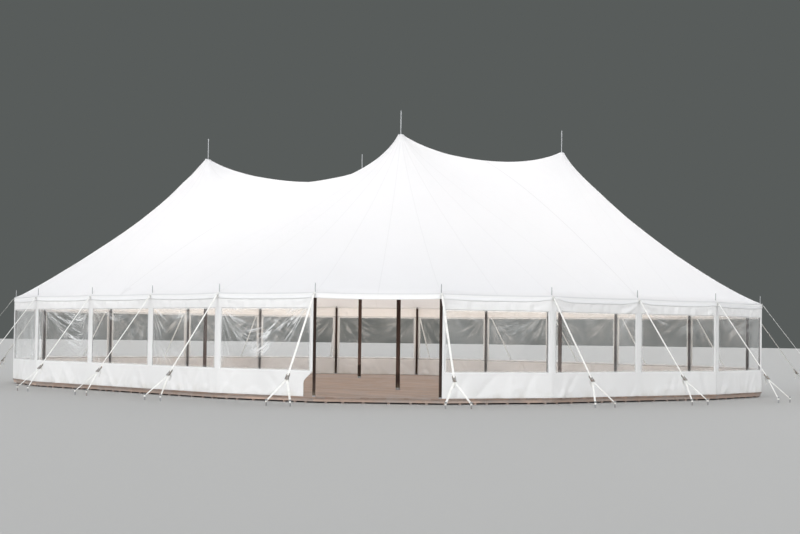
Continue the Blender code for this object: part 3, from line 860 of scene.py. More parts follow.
class MARQUEE_OT_stage(bpy.types.Operator):
    """Set the camera, the pale floor, the backdrop and the soft light"""

    bl_idname = "marquee.stage"
    bl_label = "Stage"

    def execute(self, context):
        scene = context.scene
        sizes = settings("stage")
        azimuth, elevation, roll = sizes.aim
        level = Vector((math.cos(azimuth), math.sin(azimuth), 0))
        back = toward(azimuth, elevation)
        upright = back.cross(level)
        right = level * math.cos(roll) + upright * math.sin(roll)
        up = upright * math.cos(roll) - level * math.sin(roll)
        deselect()
        bpy.ops.object.camera_add()
        camera = scene.camera = context.object
        turn = Matrix((right, up, back)).transposed().to_4x4()
        camera.matrix_world = Matrix.Translation(sizes.eye) @ turn
        camera.data.sensor_fit = "HORIZONTAL"
        camera.data.sensor_width = 36.0
        camera.data.lens = sizes.lens
        camera.data.clip_end = 1000
        bpy.ops.mesh.primitive_circle_add(vertices=128, radius=sizes.floor_radius, fill_type="NGON")
        floor = context.object
        floor.name = "studio_floor"
        set_finish(floor, "studio_floor")
        scene.world = bpy.data.worlds.new("studio")
        scene.world.use_nodes = True
        sky = scene.world.node_tree
        height = parts(sky, add_node(sky, "ShaderNodeTexCoord").outputs["Generated"])[2]
        dome = blend(sky, ramp(sky, height, 0.55, 0.95), sizes.dome, sizes.zenith)
        tone = blend(sky, ramp(sky, height, 0.21, 0.50), sizes.backdrop, dome)
        feed(sky, sky.nodes["Background"].inputs["Color"], tone)
        scene.view_settings.view_transform = "Standard"
        for name, strength, spread, azimuth, elevation in SUNS:
            lamp = add_lamp("SUN", name, strength)
            lamp.data.angle = math.radians(spread)
            way = toward(math.radians(azimuth), math.radians(elevation))
            lamp.rotation_euler = way.to_track_quat("Z", "Y").to_euler()
        for name, middle, long_way, short_way, power in HALL_LAMPS:
            lamp = add_lamp("AREA", name, power, (*middle, DECK_TOP + LAMP_HEIGHT))
            lamp.rotation_euler = (math.pi, 0, 0)
            lamp.data.shape = "ELLIPSE"
            lamp.data.size, lamp.data.size_y = long_way, short_way
            lamp.data.color = (1.0, 0.90, 0.79)
            lamp.visible_camera = False
        return {"FINISHED"}


# Roof

# Pull round the peaks against the pull down the slopes, outside and between the peaks
HOOP_SHARE, TOP_HOOP_SHARE = 0.52, 1.43
RIDGE_WEBBING = 5.8
ROOF_RINGS = 34
RING_CROWDING = 1.35
EAVE_COLUMNS = 16
INNER_COLUMN = 0.33
PANELS_PER_BAY = 2
BAY_RUN = 3.1
# Depths below the roof's edge of the valance's rows of points, and where it swings free
VALANCE_DEPTHS = (0.006, 0.03, 0.06, 0.09, 0.115)
BELT_FOOT = 0.062


def quarter_edge():
    """Plan points round a quarter of the roof, with a bay coordinate on the eave."""
    corner = [offset_corner(pole, ROOF_OUT) for pole in range(POLE_COUNT)]
    first = min(range(POLE_COUNT), key=lambda pole: (abs(POLES[pole].y), -POLES[pole].x))
    points, bays = [], []
    pole = first
    while corner[pole].x > 0:
        for step in range(EAVE_COLUMNS):
            fraction = step / EAVE_COLUMNS
            place = corner[pole].lerp(corner[pole + 1], fraction)
            if place.x > 0.001:
                points.append(place)
                bays.append(pole + fraction)
        pole += 1
    side_y, end_x = corner[pole].y, corner[first].x
    points.append(Vector((0, side_y)))
    bays.append(pole - 0.5)
    stops = [Vector(stop) for stop in ((0, side_y), (0, PEAK.y), (0, 0), (PEAK.x, 0), (end_x, 0))]
    inner = []
    for start, end in zip(stops, stops[1:]):
        steps = max(2, round((end - start).length / INNER_COLUMN))
        inner += [start.lerp(end, step / steps) for step in range(steps)]
    return points + inner[1:], bays + [None] * (len(inner) - 1)


def balance(rows, columns, pulls, height, held):
    """Heights in balance under the pulls, by conjugate gradients from a first guess."""
    count = len(height)
    free = ~held

    def pulled(x):
        return np.bincount(rows, weights=pulls * x[columns], minlength=count)

    diagonal = np.bincount(rows[rows == columns], weights=pulls[rows == columns], minlength=count)
    diagonal[diagonal == 0] = 1
    left = np.where(free, -pulled(height), 0.0)
    eased = left / diagonal
    step = eased.copy()
    size = left @ eased
    for _ in range(1500):
        effect = np.where(free, pulled(step), 0.0)
        along = size / (step @ effect)
        height = height + along * step
        left = left - along * effect
        eased = left / diagonal
        new_size = left @ eased
        if new_size < 1e-12:
            break
        step = eased + new_size / size * step
        size = new_size
    return height


def tension_heights(spokes, on_eave, edge_height):
    """Heights of the roof canvas over its spokes of plan points, under its own tension."""
    count, rings = spokes.shape[0], spokes.shape[1] - 1
    plan = spokes.reshape(-1, 2)
    here = np.repeat(np.arange(count) * (rings + 1), rings) + np.tile(np.arange(rings), count)
    beside = (here + rings + 1) % len(plan)
    faces = np.concatenate(
        (np.stack((here, here + 1, beside + 1), 1), np.stack((here, beside + 1, beside), 1))
    )
    corner = plan[faces]
    middle = corner.mean(axis=1)
    reach = np.maximum(np.hypot(*(middle - PEAK_XY).T), settings("roof").peak_ring)
    between = (middle[:, 0] < PEAK.x) & (middle[:, 1] < PEAK.y)
    hoop = np.where(between, TOP_HOOP_SHARE, HOOP_SHARE)
    edges = corner[:, [2, 0, 1]] - corner[:, [1, 2, 0]]
    area = np.abs(edges[:, 0, 0] * edges[:, 1, 1] - edges[:, 0, 1] * edges[:, 1, 0]) / 2
    stiffness = (reach ** (hoop - 1) / (4 * area))[:, None, None]
    element = np.einsum("fik,fjk->fij", edges, edges) * stiffness
    ends = spokes[:, -1]
    ridge = next(i for i in range(count) if abs(ends[i, 0] - PEAK.x) < 1e-4 and ends[i, 1] < PEAK.y)
    upper = ridge * (rings + 1) + np.arange(rings)
    webbing = RIDGE_WEBBING / np.hypot(*(plan[upper] - plan[upper + 1]).T)
    rows = np.concatenate((np.repeat(faces, 3, axis=1).ravel(), upper, upper + 1, upper, upper + 1))
    columns = np.concatenate((np.tile(faces, (1, 3)).ravel(), upper, upper + 1, upper + 1, upper))
    pulls = np.concatenate((element.ravel(), webbing, webbing, -webbing, -webbing))
    starts = np.arange(count) * (rings + 1)
    held = np.zeros(len(plan), bool)
    held[starts] = True
    held[starts[on_eave] + rings] = True
    slope = np.tile(np.linspace(PEAK_TOP, edge_height, rings + 1), count)
    return balance(rows, columns, pulls, slope, held).reshape(count, rings + 1)


def roof_quarter():
    """Points, faces and cloth coordinates of a quarter of the roof."""
    sizes = settings("roof")
    edge_height = EAVE + sizes.valance
    outline, bays = quarter_edge()
    ends = np.array([tuple(point) for point in outline])
    reach = np.hypot(*(ends - PEAK_XY).T)
    direction = (ends - PEAK_XY) / reach[:, None]
    steps = (np.arange(ROOF_RINGS + 1) / ROOF_RINGS) ** RING_CROWDING
    radii = sizes.peak_ring + (reach[:, None] - sizes.peak_ring) * steps
    spokes = PEAK_XY + direction[:, None] * radii[..., None]
    on_eave = np.array([bay is not None for bay in bays])
    heights = tension_heights(spokes, on_eave, edge_height)
    hole = settings("poles").centre_spike + 0.004
    points, cloth, rows = [], [], []
    for index, bay in enumerate(bays):
        far = reach[index]
        panel = 0.0
        if bay is not None:
            panel = abs((bay * PANELS_PER_BAY + 0.5) % 1 - 0.5) / PANELS_PER_BAY * BAY_RUN
        column = [(*(PEAK_XY + direction[index] * hole), PEAK_TOP, far, 0.0)]
        for (x, y), radius, height in zip(spokes[index], radii[index], heights[index]):
            seam = panel * radius / far
            if bay is None:
                seam = min(abs(x - PEAK.x), abs(y - PEAK.y), x + 0.02, y + 0.02)
            column.append((x, y, height, far - radius, seam))
        if bay is not None:
            for depth in (*VALANCE_DEPTHS, sizes.valance):
                column.append((*ends[index], edge_height - depth, -depth, panel))
        rows.append(range(len(points), len(points) + len(column)))
        points += [place[:3] for place in column]
        cloth += [(seam, way, -1.0 if bay is None else bay) for *_, way, seam in column]
    faces = []
    for here, beside in zip(rows, rows[1:] + rows[:1]):
        for ring in range(min(len(here), len(beside)) - 1):
            faces.append((here[ring], here[ring + 1], beside[ring + 1], beside[ring]))
    return points, faces, np.array(cloth)


# How far the valance is drawn up beside a pole: by bay and end of the bay
VALANCE_TUCKS = {(3, 0): 0.75, (2, 1): 0.35, (3, 1): 0.35, (4, 0): 0.30, (4, 1): 0.25}
USUAL_TUCK, TUCK_REACH = 0.08, 0.34


def valance_tuck(points, bays):
    """Share by which the valance is drawn up at points beside the poles."""
    tuck = np.zeros(len(points))
    for bay in range(POLE_COUNT):
        own = bays == bay
        across = (points[own, :2] - np.array(tuple(POLES[bay]))) @ np.array(tuple(bay_direction(bay)))
        for end, distance in enumerate((across, bay_width(bay, 0) - across)):
            drawn = VALANCE_TUCKS.get((bay, end), USUAL_TUCK)
            tuck[own] += drawn * bell(np.clip(distance, 0, None), TUCK_REACH)
    return tuck


def wander(points, scale, seed):
    """Smooth noise from -1 to 1 at points."""
    shift = Vector((seed * 13.7, seed * 5.3, seed * 9.1))
    return np.array([noise.noise(Vector(p) * scale + shift) for p in points])


# Lift of the two end slopes against the even roof, by the run from their peaks
END_LINE = (0.643, 0.766)
END_SLOPES = {
    -1: ((0.0, 0.25, 0.8, 1.3, 2.2, 4.5, 6.5), (0.0, 0.12, 0.14, 0.08, 0.03, 0.05, 0.0)),
    1: ((0.0, 1.2, 2.0, 3.5, 4.8, 6.0), (0.0, 0.0, -0.06, -0.09, -0.05, 0.0)),
}


def end_lift(points):
    """Height that each end slope gains or loses against the even roof."""
    lift = np.zeros(len(points))
    for side, (runs, heights) in END_SLOPES.items():
        away = points[:, :2] - side * PEAK_XY
        run = np.maximum(np.hypot(*away.T), 1e-6)
        facing = np.clip(away @ np.array(END_LINE) * side / run, 0, 1)
        lift += np.interp(run, runs, heights) * facing ** 1.5
    return lift


def relax_roof(mesh):
    """Give the roof its droop, creases and waves."""
    points = read_points(mesh)
    height = points[:, 2]
    way, bay = read_attribute(mesh, "way"), read_attribute(mesh, "bay")
    fraction = np.where(bay < 0, 0.5, bay % 1)
    up_slope = np.maximum(way, 0)
    height -= np.where(bay >= 0, edge_droop(fraction) * np.exp(-up_slope / 1.3), 0)
    crease = (1 - np.abs(2 * fraction - 1)) ** 0.6
    height -= np.where(bay >= 0, 0.014 * crease * bell(up_slope - 1.2, 1.1), 0)
    soft = wander(points, 0.55, 1) * 0.014 * smooth_step(0.2, 2.0, up_slope)
    fine = wander(points, 1.9, 2) * 0.004 * smooth_step(0.1, 1.0, up_slope)
    height += np.where(way > 0, soft + fine, 0)
    away = np.abs(points[:, :2]) - PEAK_XY
    run, angle = np.hypot(*away.T), np.arctan2(away[:, 1], away[:, 0])
    folds = np.cos(9 * angle) * 0.012 + np.cos(23 * angle + 1) * 0.005
    height += folds * smooth_step(0.08, 0.45, run) * np.exp(-run / 0.75)
    height += end_lift(points) * smooth_step(0.0, 0.7, way)
    lines = [(POLES[b] + POLES[(b + 1) % POLE_COUNT]) / 2 for b in range(POLE_COUNT)]
    gaps = points[:, None, :2] - np.array([tuple(line) for line in lines])
    nearest = np.hypot(gaps[..., 0], gaps[..., 1]).argmin(axis=1)
    height += np.where(way < 0, -way * valance_tuck(points, nearest), 0)
    below = np.clip(-way - BELT_FOOT, 0, None) / (settings("roof").valance - BELT_FOOT)
    hanging = way < -BELT_FOOT
    flat = points * (1, 1, 0.2)
    sway = wander(flat, 1.3, 3) * 0.006 + wander(flat, 4.6, 4) * 0.003
    outward = np.array([tuple(bay_outward(bay)) for bay in range(POLE_COUNT)])[nearest]
    points[hanging, :2] += (outward * ((0.004 + sway) * below)[:, None])[hanging]
    height += np.where(hanging, wander(points * (1, 1, 0), 1.7, 5) * 0.004 * below, 0)
    write_points(mesh, points)


class MARQUEE_OT_roof(bpy.types.Operator):
    """Stretch one continuous canvas over the four peaks and down to the valance"""

    bl_idname = "marquee.roof"
    bl_label = "Roof canvas"

    def execute(self, context):
        points, faces, cloth = roof_quarter()
        roof = new_piece("roof_canvas", points, faces, "roof_canvas")
        point_attribute(roof.data, "way", cloth[:, 1])
        point_attribute(roof.data, "bay", cloth[:, 2])
        map_cloth(roof.data, "cloth", cloth[:, [2, 1]] * (BAY_RUN, 1.0))
        map_cloth(roof.data, "seams", cloth[:, :2])
        apply_modifier(roof, "MIRROR", use_axis=(True, True, False), merge_threshold=0.0002)
        relax_roof(roof.data)
        apply_modifier(roof, "SOLIDIFY", thickness=settings("roof").thickness, offset=-1)
        finish_piece(roof, "roof_fabric", "roof_right_half", "roof_left_half")
        return {"FINISHED"}


# Walls and windows

# First bay and number of bays of each wall section and clear sheet
WALL_BAYS = {
    "wall_entrance_right": (2, 3),
    "wall_right_corner": (5, 3),
    "wall_back": (8, 3),
    "wall_back_corner": (11, 3),
    "wall_left_end": (14, 2),
    "wall_left_corner": (16, 3),
    "wall_entrance_left": (19, 4),
}
WINDOW_BAYS = {
    "windows_right": (2, 6), "windows_back": (8, 3), "windows_left": (11, 5), "windows_front": (16, 7)
}
# Where each bay's clear sheet is creased: kind, way across the bay, height above the deck,
# half width as a share of the bay, half height and strength
# The slack and pull spots also set how strongly the clear sheet's painted crease highlight shows.
SPOTS = {
    0: (
        ("slack", 0.14, 1.98, 0.17, 0.22, 1.1), ("slack", 0.22, 1.55, 0.22, 0.30, 0.6),
        ("slack", 0.42, 1.35, 0.14, 0.35, 0.5), ("pull", 0.86, 1.98, 0.13, 0.28, 0.9),
        ("pull", 0.66, 1.62, 0.17, 0.32, 1.1), ("pull", 0.48, 1.25, 0.14, 0.30, 0.9),
        ("slack", 0.08, 1.10, 0.09, 0.30, 0.6),
    ),
    2: (("slack", 0.2, 1.9, 0.12, 0.3, 0.25), ("slack", 0.75, 1.7, 0.3, 0.3, 0.22)),
    3: (
        ("pull", 0.88, 1.80, 0.10, 0.30, 0.45), ("slack", 0.10, 1.95, 0.12, 0.2, 0.4),
        ("mist", 0.75, 1.6, 0.5, 1.2, 0.05),
    ),
    4: (("slack", 0.2, 2.0, 0.2, 0.2, 0.4), ("pull", 0.7, 1.9, 0.2, 0.4, 0.35)),
    5: (("slack", 0.5, 1.9, 0.4, 0.3, 0.35), ("mist", 0.85, 1.5, 0.3, 0.9, 0.06)),
    18: (("mist", 0.6, 1.3, 1.2, 1.4, 0.30), ("mist", 0.5, 0.72, 1.2, 0.10, 0.12)),
    19: (
        ("slack", 0.72, 1.70, 0.28, 0.45, 1.2), ("slack", 0.78, 1.15, 0.18, 0.40, 1.0),
        ("slack", 0.40, 1.90, 0.20, 0.22, 0.6), ("slack", 0.16, 1.95, 0.18, 0.30, 0.8),
        ("slack", 0.08, 1.20, 0.06, 0.80, 0.9), ("pull", 0.86, 1.70, 0.12, 0.50, 0.9),
    ),
    20: (
        ("slack", 0.10, 1.75, 0.10, 0.45, 0.9), ("slack", 0.12, 0.85, 0.16, 0.22, 0.7),
        ("slack", 0.45, 1.95, 0.30, 0.22, 0.5), ("slack", 0.80, 1.50, 0.20, 0.30, 0.3),
    ),
    21: (
        ("slack", 0.12, 1.80, 0.14, 0.40, 1.0), ("slack", 0.08, 1.25, 0.08, 0.40, 1.0),
        ("slack", 0.20, 0.92, 0.20, 0.20, 0.9), ("slack", 0.45, 1.95, 0.20, 0.18, 0.5),
        ("pull", 0.68, 1.75, 0.22, 0.40, 0.3),
    ),
}
USUAL_SPOTS = (("slack", 0.2, 1.8, 0.2, 0.4, 0.5), ("pull", 0.75, 1.6, 0.2, 0.5, 0.4))
# Arched folds that stand on a skirt's hem: way across the bay, half width and height
HEM_ARCS = {2: ((0.16, 0.24, 0.14), (0.50, 0.22, 0.15), (0.69, 0.26, 0.24))}
# Way across a bay at which its hanging folds are lowest, when not in the middle
LOWEST = {0: 0.33, 19: 0.86, 20: 0.45, 21: 0.4}
# How much finer than usual a bay's hanging creases are
CREASE_FINENESS = {0: 1.3, 19: 1.8, 21: 1.3}
# How much tighter than usual the canvas is gathered at a bay's upper corners
CORNER_GATHERS = {(3, 0): 2.2, (3, 1): 2.4, (4, 0): 2.4}
# Gathers below the eave: waves across a bay with their strength, and waves round a corner
GATHERS, CORNER_WAVES = ((5, 1.0), (9, 1.2), (14, 0.9), (21, 0.5)), (9, 14)
FOLD_SEED = 401
# How far a sheet's end stands back from the pole, at the entrance and where it is laced
ENTRANCE_SETBACK, LACED_SETBACK = 0.03, 0.0015


def spot_cover(bay, kind, fraction, level):
    """How much a bay's clear sheet is slack, pulled or misted at a place."""
    cover = 0.0
    for spot, at, height, wide, tall, strength in SPOTS.get(bay, USUAL_SPOTS):
        if spot == kind:
            reach = ((fraction - at) / wide) ** 2 + ((level - DECK_TOP - height) / tall) ** 2
            cover = cover + strength * np.exp(-(reach ** 1.5))
    return cover


def bay_folds(bay):
    """Seeded folds of one bay: swags, skirt creases, hem arcs, billow and gathers."""
    dice = np.random.default_rng(FOLD_SEED + bay)

    def either_way(low, high):
        return dice.choice((-1, 1)) * dice.uniform(low, high)

    swags = [(dice.uniform(0.25, 1.9), dice.uniform(0.04, 0.08), either_way(0.4, 1.0)) for _ in range(12)]
    creases = [
        (dice.uniform(0.0, 1.0), either_way(0.2, 1.1), dice.uniform(0.045, 0.09), either_way(0.4, 1.0))
        for _ in range(9)
    ]
    arcs = HEM_ARCS.get(bay) or [
        (dice.uniform(0.1, 0.9), dice.uniform(0.18, 0.34), dice.uniform(0.10, 0.24)) for _ in range(3)
    ]
    return swags, creases, arcs, dice.uniform(0.006, 0.03), dice.uniform(0, 6.28, 6)


def swag_depth(bay, across, down, width):
    """Depth of the hanging fold through a point between the bay's upper corners, and its slack."""
    low = LOWEST.get(bay, 0.5)
    half = np.where(across < low * width, low * width, (1 - low) * width)
    reach = np.clip(np.abs(across - low * width) / half, 0, 0.97) ** 1.5
    return np.maximum(down, 0) / (1 - reach), 1 - reach


def drape(bay, across, level, width):
    """How far the wall stands outward at points of a bay."""
    swags, creases, arcs, billow, phases = bay_folds(bay)
    fraction = across / width
    down = EAVE - level
    low_share = np.clip(down / (EAVE - DECK_TOP), 0, 1)
    out = billow * np.sin(math.pi * fraction) * np.sin(math.pi * low_share) ** 0.8
    gather = np.zeros_like(out)
    for (order, size), phase in zip(GATHERS, phases):
        gather = gather + size * np.sin(2 * math.pi * order * fraction + phase + 1.2 * down)
    out = out + gather * 0.0065 * bell(np.clip(down, 0, None), 0.36)
    for side, corner in enumerate((across, width - across)):
        ray = np.arctan2(np.maximum(down, 0), corner)
        tight = CORNER_GATHERS.get((bay, side), 1.0) * np.exp(-np.hypot(down, corner) / 0.50)
        for order, phase in zip(CORNER_WAVES, phases[4:]):
            out = out + 0.011 * tight * np.sin(order * ray + phase)
    depth, slack = swag_depth(bay, across, down, width)
    cover = spot_cover(bay, "slack", fraction, level) + 0.12
    for at, wide, size in swags:
        keep = np.minimum(1, wide * slack / 0.035)
        out = out + cover * size * 0.010 * bell(depth - at, wide) * keep
    skirt_top = DECK_TOP + settings("walls").skirt
    low_down = 1 - smooth_step(skirt_top - 0.2, skirt_top + 0.05, level)
    lean = level - DECK_TOP
    for at, slope, wide, size in creases:
        out = out + size * 0.024 * bell(across - at * width + slope * lean, wide) * low_down
    for at, wide, tall in arcs:
        ring = np.hypot((across - at * width) / wide, lean / tall)
        out = out + 0.019 * bell(ring - 1, 0.22) * low_down
    slump = np.sin(2 * math.pi * 3.3 * fraction + phases[0] + 5 * lean)
    out = out + (0.008 + 0.010 * slump) * np.exp(-lean / 0.14) * low_down
    clear = smooth_step(0.05, 0.26, np.minimum(across, width - across))
    return np.maximum(out, -0.02) * clear * smooth_step(0.0, 0.10, down)


def level_steps(low, high, step):
    count = max(1, round((high - low) / step))
    return [low + (high - low) * i / count for i in range(count)]


def bay_columns(width, edge, step):
    """Distances of the fold columns across a bay, close together by its bands."""
    band = [0.0, edge * 0.35, edge * 0.7, edge]
    inside = level_steps(edge, width - edge, step)[1:]
    return band + inside + [width - value for value in reversed(band)]


def run_of_bays(first, count, sizes):
    """Columns of a wall over a run of bays: bay, distance across it and its width."""
    columns = []
    for bay in range(first, first + count):
        width = bay_width(bay, WALL_OUT)
        across_bay = bay_columns(width, sizes.band, sizes.cell)
        last = bay == first + count - 1
        columns += [(bay, across, width) for across in (across_bay if last else across_bay[:-1])]
    setbacks = [
        ENTRANCE_SETBACK if beside % POLE_COUNT == ENTRANCE_BAY else LACED_SETBACK
        for beside in (first - 1, first + count)
    ]
    bay, across, width = columns[-1]
    columns[0] = (first, setbacks[0], columns[0][2])
    columns[-1] = (bay, width - setbacks[1], width)
    return columns


def band_wave(bay, across, width, level, band):
    """Sideways waver of the white bands' edges."""
    near = min(across, width - across)
    if not band * 0.5 < near < band * 1.9:
        return 0.0
    side = 1 if across < width / 2 else -1
    shift = Vector((bay * 3.7 + side * 1.9, level * 3.1, 0.4))
    wave = 0.016 * noise.noise(shift) + 0.008 * noise.noise(shift * 3.3)
    return side * wave * (1 if near <= band * 1.01 else 0.4)


def entrance_tuck(bay, across, width, level, sizes):
    """How far the wall beside the entrance is drawn back from its pole."""
    if bay % POLE_COUNT != ENTRANCE_BAY - 1:
        return 0.0
    low_down = 1 - smooth_step(DECK_TOP + sizes.skirt * 0.55, DECK_TOP + sizes.skirt * 1.05, level)
    return float(sizes.tuck * low_down * smooth_step(width - 0.9, width - 0.02, across))


def hung_points(columns, levels, offset, sizes, waved):
    """Points of a hung sheet: columns of a run of bays, dropped through levels."""
    points, cloth = [], []
    levels = np.array(levels)
    run = 0.0
    before = None
    for bay, across, width in columns:
        along = bay_direction(bay)
        base, outward = offset_corner(bay, offset) + along * across, bay_outward(bay)
        if across < 1e-6:
            base, outward = offset_corner(bay, offset), pole_outward(bay)[0]
        elif across > width - 1e-6:
            base, outward = offset_corner(bay + 1, offset), pole_outward(bay + 1)[0]
        run += 0.0 if before is None else (base - before).length
        before = base
        out = drape(bay % POLE_COUNT, np.full(levels.shape, across), levels, width)
        sag = edge_droop(across / width) * smooth_step(EAVE - 0.3, EAVE + 0.1, levels)
        for level, distance, drop in zip(levels, out, sag):
            slide = -entrance_tuck(bay, across, width, level, sizes)
            if waved:
                slide += band_wave(bay, across, width, level, sizes.band)
            point = base + outward * distance + along * slide
            points.append((point.x, point.y, level - drop))
            cloth.append((run, level))
    return points, cloth


def hang(item, slot, node, thickness):
    """Thicken a hung sheet and hand it to the frame."""
    apply_modifier(item, "SOLIDIFY", thickness=thickness, offset=-1)
    finish_piece(item, slot, node)


# Width of the turned hems and header seams
SEAM = 0.022


def wall_levels(sizes, skirt_top, header_low):
    hem = DECK_TOP + 0.0006
    top = EAVE + settings("roof").valance - 0.0085
    return (
        [hem, hem + 0.012, hem + 0.03]
        + level_steps(hem + 0.05, skirt_top - SEAM, sizes.cell)
        + [skirt_top - SEAM]
        + level_steps(skirt_top, header_low, sizes.cell * 1.4)
        + [header_low]
        + level_steps(header_low + SEAM, EAVE, sizes.cell * 0.7)
        + [EAVE, EAVE + 0.06, top]
    )


def make_wall(name, first, count, sizes):
    """One hung wall section with its window openings left out."""
    skirt_top, header_low = DECK_TOP + sizes.skirt, EAVE - sizes.header
    levels = wall_levels(sizes, skirt_top, header_low)
    columns = run_of_bays(first, count, sizes)
    points, cloth = hung_points(columns, levels, WALL_OUT, sizes, True)
    low, high = levels.index(skirt_top), levels.index(header_low)
    left_out = set()
    for index, ((_, here, width), (_, beside, _)) in enumerate(zip(columns, columns[1:])):
        if sizes.band - 1e-6 <= here < beside <= width - sizes.band + 1e-6:
            left_out.update((index, row) for row in range(low, high))
    faces = grid_faces(len(columns), len(levels), left_out)
    wall = new_piece(name + "_canvas", points, faces, "wall_canvas")
    map_cloth(wall.data, "cloth", cloth)
    seams = []
    for bay, across, width in columns:
        near = min(across, width - across)
        for level in levels:
            way = [abs(level - line) for line in (levels[2], skirt_top - SEAM, header_low + SEAM)]
            if near < sizes.band * 1.05 and skirt_top <= level <= header_low:
                way.append(abs(near - sizes.band * 0.7))
            seams.append((min(way), level))
    map_cloth(wall.data, "seams", seams)
    shapes = bmesh.new()
    shapes.from_mesh(wall.data)
    loose = [vertex for vertex in shapes.verts if not vertex.link_faces]
    bmesh.ops.delete(shapes, geom=loose, context="VERTS")
    shapes.to_mesh(wall.data)
    shapes.free()
    hang(wall, "wall_fabric", name, sizes.thickness)


def make_window(name, first, count, sizes):
    """One clear sheet behind the windows of a run of bays."""
    low = DECK_TOP + sizes.skirt - sizes.lap
    high = EAVE - sizes.header + sizes.lap
    levels = level_steps(low, high, sizes.vinyl_cell) + [high]
    columns = []
    for bay in range(first, first + count):
        width = bay_width(bay, WINDOW_OUT)
        columns += [(bay, across, width) for across in level_steps(0, width, sizes.vinyl_cell)]
    columns[0] = (first, ENTRANCE_SETBACK, columns[0][2])
    columns.append((bay, width - ENTRANCE_SETBACK, width))
    points, cloth = hung_points(columns, levels, WINDOW_OUT, sizes, False)
    faces = grid_faces(len(columns), len(levels))
    sheet = new_piece(name + "_sheet", points, faces, "window_vinyl")
    swag, fan, border = [], [], []
    covers = {"slack": [], "pull": [], "mist": []}
    for bay, across, width in columns:
        own = bay % POLE_COUNT
        corner = width - across
        for level in levels:
            down = EAVE - level
            depth = float(swag_depth(own, np.array(across), np.array(down), width)[0])
            swag.append((CREASE_FINENESS.get(own, 1.0) * min(depth, 6.0) + 9.0 * own, across))
            ray = math.atan2(down + 0.15, corner + 0.05)
            fan.append((1.7 * ray + 7.0 * own, math.hypot(down, corner)))
            for kind, values in covers.items():
                values.append(spot_cover(own, kind, across / width, level))
            side = min(across, corner) - sizes.band
            border.append(min(side, level - low - sizes.lap, high - sizes.lap - level))
    for way, places in (("cloth", cloth), ("swag", swag), ("fan", fan)):
        map_cloth(sheet.data, way, places)
    for kind, values in {**covers, "border": border}.items():
        point_attribute(sheet.data, kind, values)
    hang(sheet, "clear_vinyl", name, sizes.vinyl)


class MARQUEE_OT_walls(bpy.types.Operator):
    """Hang the white wall sections from the eave"""

    bl_idname = "marquee.walls"
    bl_label = "Wall canvas"

    def execute(self, context):
        for name, (first, count) in WALL_BAYS.items():
            make_wall(name, first, count, settings("walls"))
        return {"FINISHED"}


class MARQUEE_OT_windows(bpy.types.Operator):
    """Hang the clear sheets behind the window openings"""

    bl_idname = "marquee.windows"
    bl_label = "Clear windows"

    def execute(self, context):
        for name, (first, count) in WINDOW_BAYS.items():
            make_window(name, first, count, settings("walls"))
        return {"FINISHED"}


# Poles

# Room that the steel sleeves take inside a pole's full radius
SLEEVE_ROOM, SLEEVE_WALL = 0.0023, 0.0022


def timber_pole(radius, low, high):
    """Stained pole: a turned shaft with eased ends."""
    foot = [(radius - 0.006, low), (radius - 0.001, low + 0.004), (radius, low + 0.012)]
    shaft = [(radius, low + (high - low) * step / 8) for step in range(1, 8)]
    head = [(radius, high - 0.012), (radius - 0.001, high - 0.004), (radius - 0.008, high)]
    return turned(foot + shaft + head, 24)


def pole_steel(radius, low, high, spike, spike_top, ferrule):
    """Foot plate, sleeves, the spike that passes through the roof, and its washer."""
    sleeve, plate, washer = radius + SLEEVE_WALL, radius * 1.3, radius * 0.75
    foot = [(plate, low), (plate, low + 0.005), (sleeve, low + 0.006), (sleeve, low + ferrule)]
    head = [
        (sleeve - 0.001, high - ferrule), (sleeve, high - ferrule + 0.002), (sleeve, high - 0.002),
        (radius * 0.6, high - 0.001),
    ]
    needle = [
        (spike, high - 0.01), (spike, spike_top - 0.05), (spike * 0.92, spike_top - 0.03),
        (spike * 0.5, spike_top - 0.008), (spike * 0.12, spike_top),
    ]
    collar = [
        (washer, high + 0.008), (washer, high + 0.012), (spike * 1.9, high + 0.014),
        (spike * 1.6, high + 0.030), (spike * 1.05, high + 0.034),
    ]
    profiles = ((foot, 24), (head, 24), (needle, 12), (collar, 16))
    return join("steel", [turned(profile, sides) for profile, sides in profiles])


def place_poles(names, low, high, spike, ferrule):
    """Stand a pole with its steel fittings in the place of each node of a kind."""
    radius = radius_of(names[0]) - SLEEVE_ROOM
    timber = timber_pole(radius, low, high)
    steel = pole_steel(radius, low, high, spike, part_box(names[0])[1].z, ferrule)
    for name in names:
        place = Matrix.Translation((*middle_of(name).to_2d(), 0))
        shaft, fittings = copy_to(timber, [place])[0], copy_to(steel, [place])[0]
        for item, label, finish in (
            (shaft, "_timber", "pole_timber"), (fittings, "_steel", "zinc_steel")
        ):
            item.name = item.data.name = name + label
            set_finish(item, finish)
            soften(item)
        finish_piece(shaft, "pole_wood", name)
        finish_piece(fittings, "galvanised_steel")
    remove(timber, steel)


class MARQUEE_OT_poles(bpy.types.Operator):
    """Stand the side poles and centre poles with their spikes"""

    bl_idname = "marquee.poles"
    bl_label = "Poles"

    def execute(self, context):
        sizes = settings("poles")
        low = DECK_TOP + 0.0003
        side_top = EAVE + settings("roof").valance - 0.0069
        place_poles(SIDE_POLES, low, side_top, sizes.side_spike, sizes.ferrule)
        place_poles(CENTRE_POLES, low, PEAK_TOP - 0.0063, sizes.centre_spike, sizes.ferrule * 2)
        return {"FINISHED"}


# Guys

# First pole and number of poles of each run of guys
GUY_POLES = {"guys_right": (2, 5), "guys_back": (7, 6), "guys_left": (13, 5), "guys_front": (18, 6)}
ACROSS = Vector((0, 1, 0))
WHEEL_SIDES = 28
HOOP_RADIUS, HOOP_LEVEL = 0.0215, 0.104
